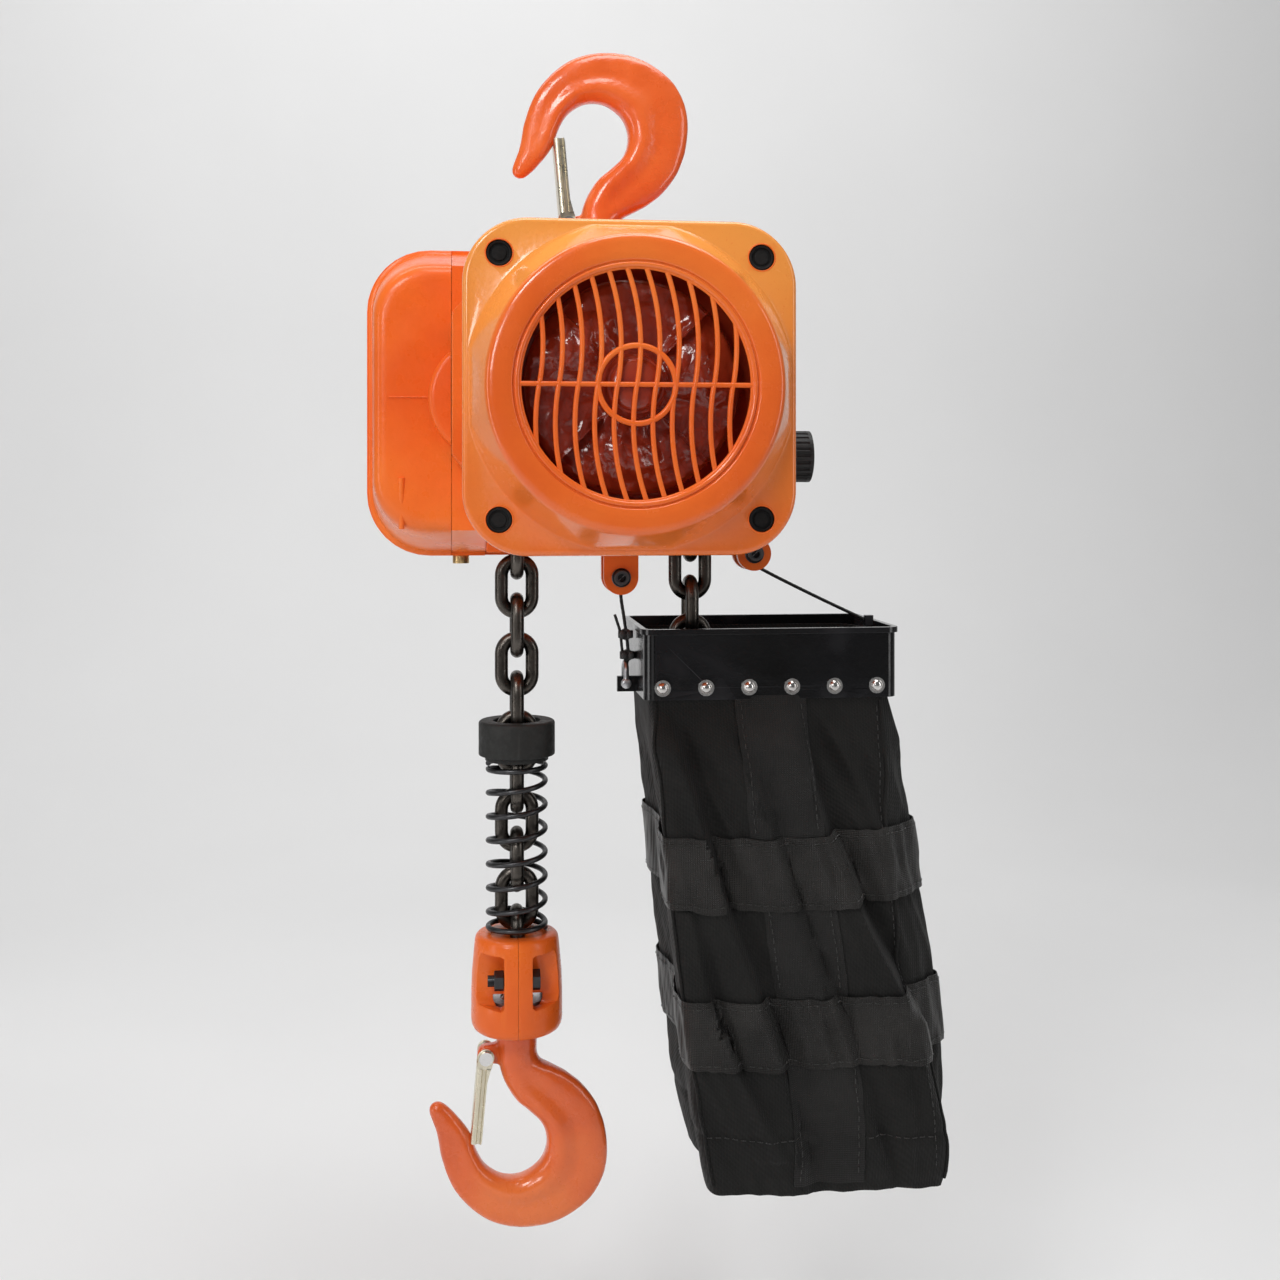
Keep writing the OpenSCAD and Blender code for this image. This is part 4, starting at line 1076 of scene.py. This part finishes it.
def electrical_box():
    """Pressed cover of the electrical box: soft front edge, parting line, raised round pad and foot rib."""
    shape = Shape()
    cut = -82.25
    rings = []
    for y, inset in ((-35.0, 7.5), (-34.9, 5.2), (-34.3, 3.4), (-33.1, 1.8), (-31.2, 0.7), (-28.6, 0.1),
                     (-20, 0), (-8, 0), (2, 0), (9, 0), (11.2, 0), (11.7, -0.3), (11.9, -1.5),
                     (12.2, -1.9), (12.98, -1.9)):
        t = (y + 35) / 48
        left = mix(-122, -124.5, t) + inset
        half_z = mix(68, 81, t) - inset
        corner = mix(28, 32, t) - inset * 0.6
        rings.append([(x, y, z) for x, z in box_outline(left, half_z, corner, cut)])
    inner = []
    for y, inset in ((12.98, 4.5), (-29, 4.5)):
        t = (y + 35) / 48
        outline = box_outline(mix(-122, -124.5, t) + inset, mix(68, 81, t) - inset, mix(28, 32, t) - 3, cut)
        inner.append([(x, y, z) for x, z in outline])
    shape.loft(rings + inner)
    pad = []
    for y, r in ((-33.5, 31.2), (-37.8, 31.0), (-39.0, 30.4), (-39.8, 29.2), (-40.0, 27.6)):
        edge = []
        for k in range(41):
            a = math.radians(128.5 + 103 * k / 40)
            edge.append((min(-63 + r * math.cos(a), cut - 0.1), y, r * math.sin(a)))
        pad.append(edge)
    shape.loft(pad)
    shape.tube([(-107.5, -35.2 + 0.35 * k, -41 - 2.9 * k) for k in range(10)], 1.5, sides=12)
    shape.piece("electrical_box", ORANGE, "hoist_body", "orange_paint", replaces=("electrical_cover",),
                      sharp=42)
    line = Shape()
    line.tube([(x, -35.15, 0.4) for x in range(-114, -93, 2)], 0.42, sides=8)
    line.tube([(-121.9, y, 0.4) for y in range(-28, 12, 2)], 0.42, sides=8)
    line.piece("electrical_box_seam", ORANGE, "hoist_body", "orange_paint", sharp=60)
    # Walls of the flange's two left corners, beside the wiring space
    corners = Shape()
    for side in (-1, 1):
        arc = []
        for k in range(33):
            a = math.radians(92 + 86 * k / 32)
            arc.append([(-93.5 + r * math.cos(a), y, side * (49 + r * math.sin(a)))
                        for r, y in ((28, 13.1), (33.9, 13.1), (33.9, 24.3), (28, 24.3))])
        corners.loft(arc)
    corners.piece("flange_corners", ORANGE, "hoist_body", "orange_paint", sharp=30)


# ---------------------------------------------------------------- hooks
LATCH_PIVOT_X, LATCH_PIVOT_Z, LATCH_TILT = -16.7, 48, 5
BOWL_RADIUS, BOWL_SHIFT, BOTTOM_BOWL_Z = 18.5, 2.7, -398
HOOK_FORM = [
    # inner x and z, outer x and z, inner and outer half thickness
    [-10.8, 56, 10.8, 56, 10.8, 10.8], [-10.7, 48.2, 10.8, 50, 10.8, 10.8],
    [-9.8, 42, 12.8, 44, 10.8, 9.8], [-8, 35.8, 19.5, 40.3, 10.8, 8.6], [-5.1, 29.5, 27, 36, 10.8, 7.6],
    [-0.6, 23, 35.2, 29.3, 10.8, 7], [6, 17.2, 42.2, 20.3, 10.8, 6.6], [11.5, 12.1, 46.6, 10, 10.8, 6.5],
    [14.8, 6, 48.7, -1, 10.8, 6.5], [15.7, -1, 48.8, -12, 10.8, 6.5], [14.2, -7.5, 45.5, -24, 10.8, 6.5],
    [10.2, -13.4, 37, -35, 10.8, 6.5], [3.5, -17.6, 22, -43.6, 10.6, 6.5], [-3.5, -18.6, 5, -46.3, 10.4, 6.5],
    [-10.5, -16.8, -12, -43, 10, 6.5], [-16.6, -12.1, -25, -34.4, 9.4, 6.2],
    [-20.9, -5.4, -34.5, -22.5, 8.6, 6], [-24.3, 4.2, -40.3, -7.5, 7.6, 5.6], [-28.5, 11, -42.8, 6, 6.4, 5.2],
    [-33.5, 17, -45, 12, 5.2, 4.6], [-38.3, 21.4, -46.8, 17.4, 4.2, 4], [-42.4, 23.9, -47, 21, 2.4, 2.4]
]


def forging(name, place, body, shank_top, node_name):
    """A forged hook: swept body with a flash line, rounded tip, shank and latch ear."""
    shape = Shape()
    path = spline(HOOK_FORM, 6)
    sides = 64
    rings = []
    for i, (inner_x, inner_z, outer_x, outer_z, thick, thin) in enumerate(path):
        left = len(path) - 1 - i
        shrink = math.sqrt(max(1 - ((4 - left) / 4.4) ** 2, 0)) if left < 4 else 1.0
        flat = min((thick - thin) / 4, 1)
        middle = Vector(((inner_x + outer_x) / 2, 0, (inner_z + outer_z) / 2))
        reach = Vector(((inner_x - outer_x) / 2, 0, (inner_z - outer_z) / 2))
        ring = []
        for j in range(sides):
            t = 2 * math.pi * (j + 0.5) / sides
            bead = smooth_step(-0.1, 0.7, math.cos(t))
            h = mix(thin, thick, bead) * shrink
            v = h * math.copysign(abs(math.sin(t)) ** mix(1, 0.7, flat), math.sin(t))
            q = middle + reach * math.cos(t) * shrink + Vector((0, v, 0))
            inward = (q - middle).normalized()
            dent = 0.22 * noise.noise(q * 0.11) + 0.10 * noise.noise(q * 0.3)
            ring.append(place(q + inward * (dent - 0.12)))
        rings.append(ring)
    shape.loft(rings)
    shank = [(10.75, 50), (10.85, 58), (10.85, shank_top), (8.85, shank_top + 0.8), (8.85, shank_top + 6.6)]
    shape.loft([[place(q) for q in turned_ring(r, h, "z", (0, 0, 0), 56)] for r, h in shank])
    ear = []
    for y, grow in ((-3.4, -0.7), (-3.0, 0), (3.0, 0), (3.4, -0.7)):
        outline = []
        for k in range(17):
            a = math.radians(100 + 160 * k / 16)
            outline.append((LATCH_PIVOT_X + (4.6 + grow) * math.cos(a),
                            LATCH_PIVOT_Z + (4.6 + grow) * math.sin(a)))
        outline += [(-4, 42 - grow), (-4, 54 + grow)]
        ear.append([place(Vector((x, y, z))) for x, z in outline])
    shape.loft(ear)
    hook = shape.piece(name, HOOK, body, "hook_paint", replaces=(node_name,), sharp=180)
    whole = hook.modifiers.new("whole", "REMESH")
    whole.mode = "VOXEL"
    whole.voxel_size = 0.8 * MM
    soft = hook.modifiers.new("soft", "SMOOTH")
    soft.factor = 0.5
    soft.iterations = 7
    apply_modifiers(hook)
    finish_mesh(hook, 180)
    set_material(hook, HOOK)


def hooks():
    """The lower hook, the same form turned over for the top hook, and both latches."""
    top_bowl = -DRIVE_Z - math.sqrt(BOWL_RADIUS ** 2 - BOWL_SHIFT ** 2)

    def bottom(q):
        return Vector((q.x - CHAIN_X, q.y, q.z + BOTTOM_BOWL_Z))

    def top(q):
        return Vector((q.x - DRIVE_X, q.y, top_bowl - q.z))

    forging("bottom_hook_forging", bottom, "lower_hook", 71, "bottom_hook")
    forging("top_hook_forging", top, "upper_hook", top_bowl - 71.2, "top_hook")
    pressed_latch("bottom_latch_pressing", bottom, "lower_latch", "bottom_latch")
    pressed_latch("top_latch_pressing", top, "upper_latch", "top_latch")


def latch_section(right):
    """Outline of the latch channel: a rounded web at its back and a groove along each flange."""
    back = -4.2
    half = [(right, 8.0), (1.0, 8.0), (0.75, 7.7), (0.55, 6.9), (-1.05, 6.9), (-1.25, 7.7), (-1.5, 8.0),
            (-2.6, 8.0), (-3.4, 7.7), (-4.0, 7.1), (back, 6.2)]
    inside = [(-2.9, 5.6), (-2.6, 6.2), (-2.0, 6.5), (-1.4, 6.1), (0.9, 6.1), (1.1, 6.5), (right, 6.6)]
    return [(x, -y) for x, y in half] + half[::-1] + inside[::-1] + [(x, -y) for x, y in inside]


def pressed_latch(name, place, body, node_name):
    """The sheet latch: a grooved channel with two eyes that hang on the latch pin."""
    shape = Shape()
    tilt = math.radians(LATCH_TILT)

    def hang(x, y, z):
        return place(Vector((LATCH_PIVOT_X + x * math.cos(tilt) + z * math.sin(tilt), y,
                             LATCH_PIVOT_Z - x * math.sin(tilt) + z * math.cos(tilt))))

    rings = []
    for z, right in ((-5.6, 3.3), (-9, 2.6), (-13, 1.9), (-20, 1.8), (-28, 1.8), (-36, 1.8), (-44, 1.8),
                     (-45.5, 1.5), (-46, 1.2)):
        rings.append([hang(x, y, z) for x, y in latch_section(right)])
    shape.loft(rings)
    for side in (-1, 1):
        eye = []
        for y, r in ((6.6, 4.2), (6.75, 4.4), (7.85, 4.4), (8.0, 4.2)):
            outline = [(r * math.cos(math.radians(180 - 12 * k)), r * math.sin(math.radians(180 - 12 * k)))
                       for k in range(16)]
            outline += [(r - 0.5, -3), (3.3, -6), (-4.1, -6), (-4.1, -3)]
            eye.append([hang(x, side * y, z) for x, z in outline])
        shape.loft(eye)
    shape.piece(name, YELLOW_ZINC, body, "yellow_zinc", replaces=(node_name,), sharp=38)


# ---------------------------------------------------------------- hook block
def block_castings():
    """Split hook block: two rounded halves with bolt pockets, a rib and the seam between them."""
    profile = [(0.01, -285.0), (19.2, -285.0), (20.9, -285.4), (22.0, -286.6), (22.5, -288.6), (23.1, -295),
               (24.0, -305), (24.4, -315), (24.5, -330), (24.1, -333), (23.0, -335.2), (21.2, -336.5),
               (18.6, -337), (0.01, -337)]
    for name, side in (("block_left", -1), ("block_right", 1)):
        casting = Shape().turned(profile, "z", (-CHAIN_X, 0, 0), 128).piece(
            name + "_casting", ORANGE, "load_line", "orange_paint", replaces=(name,), sharp=40)
        cutters = Shape()
        near, far = sorted((-side * 40, side * 0.09))
        cutters.box((-CHAIN_X + near, -40, -350), (-CHAIN_X + far, 40, -270))
        cutters.box((-CHAIN_X - 3.95, -12.4, -307), (-CHAIN_X + 3.95, 12.4, -270))
        cutters.turned([(0.01, -350), (11.2, -350), (11.2, -333.5), (17, -333.4), (17, -315), (0.01, -315)],
                       "z", (-CHAIN_X, 0, 0), 64)
        for y in (-1, 1):
            pocket = []
            for x, low, high in ((7.4, -319.5, -293.5), (9.0, -321, -292.5), (30, -318, -292)):
                edges = ((40, low), (12.5, low), (10.8, low + 3), (10.8, high - 3), (12.5, high), (40, high))
                pocket.append([(-CHAIN_X + side * x, y * depth, z) for depth, z in edges])
            cutters.loft(pocket)
        cut_out(casting, cutters, "load_line", ORANGE, sharp=40, rounding=0.8)


# ---------------------------------------------------------------- spring and wires
def buffer_spring():
    """Round wire coil with closed ends."""
    low, high, wire, radius, turns = -284.9, -192.6, 1.5, 15.3, 8.5
    rise = high - low - 2 * wire
    path = []
    per_turn = 40
    for i in range(round(turns * per_turn) + 1):
        turn = i / per_turn
        live = min(max((turn - 1) / (turns - 2), 0), 1)
        dead = min(turn, 1) + max(turn - turns + 1, 0)
        z = low + wire + dead * 2.05 * wire + live * (rise - 4.1 * wire)
        a = 2 * math.pi * turn
        path.append((-CHAIN_X + radius * math.cos(a), radius * math.sin(a), z))
    shape = Shape().tube(path, wire * 0.98, sides=14)
    spring = shape.piece("buffer_coil", SPRING, "load_line", "spring_steel", replaces=("buffer_spring",),
                         sharp=70)
    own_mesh(spring)


def rope(shape, points, radius=0.98, steps=14, strands=6, lay=0.35):
    """A wire rope: a round tube with the twist of its strands pressed into it."""
    path = [Vector(p) for p in spline([list(p) for p in points], steps)]
    rings = tube_rings(path, radius, 24)
    walked = 0.0
    for i, ring in enumerate(rings):
        if i:
            walked += (path[i] - path[i - 1]).length
        for j, p in enumerate(ring):
            dip = 0.10 * radius * (1 + math.cos(strands * (2 * math.pi * j / 24 + walked * lay)))
            ring[j] = p + (path[i] - p).normalized() * dip
    shape.loft(rings)


def bag_ropes():
    """The two wire ropes that hold the bag frame."""
    shape = Shape()
    y = LUG_Y
    rope(shape, [(10.5, y, -101), (11, y, -108), (12.4, y, -117), (13.8, y, -127), (14.6, y, -134),
                 (14.8, y, -140), (13.6, y, -144)])
    rope(shape, [(86, y, -89), (89.5, y, -91.2), (97, y, -95.2), (110, y, -101.7), (125, y, -109),
                 (139, y, -115.6), (148.4, y, -120)])
    shape.piece("bag_ropes", CABLE, "chain_bag", "cable", replaces=("bag_wires",), sharp=80)


def wire_hardware():
    """Two black clamps and a thimble on the left wire, the eyes, and the steel shackle under them."""
    black = Shape()
    for x, z in ((13.8, -127), (14.75, -138.5)):
        for side in (-1, 1):
            black.turned([(0.01, -2.1), (2.0, -2.1), (2.3, -1.8), (2.3, 1.8), (2.0, 2.1), (0.01, 2.1)], "z",
                         (x - 0.4 + side * 1.9, LUG_Y, z), 20)
            black.prism((x - 0.4 + side * 1.9, LUG_Y - 2.4, z), "y", (1.7, 6, -1.3, 0.3))
        black.turned([(0.01, -1.7), (3.0, -1.7), (3.2, -1.2), (3.2, 1.2), (3.0, 1.7), (0.01, 1.7)], "y",
                     (x - 0.4, LUG_Y, z), 24)
    for x, z in LUGS:
        black.tube(turned_ring(4.85, LUG_Y, "y", (x, 0, z), 48), 0.93, sides=14, closed=True)
    rope(black, [(12.0, LUG_Y + 0.4, -139.6), (11.2, LUG_Y + 0.2, -133), (10.4, LUG_Y - 0.4, -126),
                 (8.4, LUG_Y - 1.2, -119.5), (7.2, LUG_Y - 2.0, -116)], radius=0.85)
    black.piece("wire_clamps", CABLE, "chain_bag", "zinc", replaces=("wire_fittings",), sharp=50)
    steel = Shape()
    bow = [(13.2, LUG_Y + 5 * math.cos(a), -147.5 + 5 * math.sin(a))
           for a in (math.pi * k / 24 for k in range(25))]
    steel.tube([(13.2, LUG_Y + 5, -153.4)] + bow + [(13.2, LUG_Y - 5, -153.4)], 1.55, sides=16)
    for side in (-1, 1):
        steel.turned([(0.01, -1.2), (2.6, -1.2), (2.9, -0.8), (2.9, 0.8), (2.6, 1.2), (0.01, 1.2)], "y",
                     (13.2, LUG_Y + side * 5.2, -153.5), 28)
    steel.turned([(0.01, -7.4), (1.6, -7.4), (1.65, 7.4), (0.01, 7.4)], "y", (13.2, LUG_Y, -153.5), 24)
    steel.prism((13.2, LUG_Y, -153.5), "y", (2.7, 6, -8.4, -6.3))
    steel.piece("shackle", STEEL, "chain_bag", "zinc", sharp=45)


camera()
dress_nodes()
stage()
cover_shell()
grille()
screw_caps()
fan_rotor()
lug_bolt_heads()
electrical_box()
hooks()
block_castings()
buffer_spring()
bag_cloth()
bag_bands()
bag_centre_straps()
bag_stitching()
bag_piping()
bag_ropes()
wire_hardware()
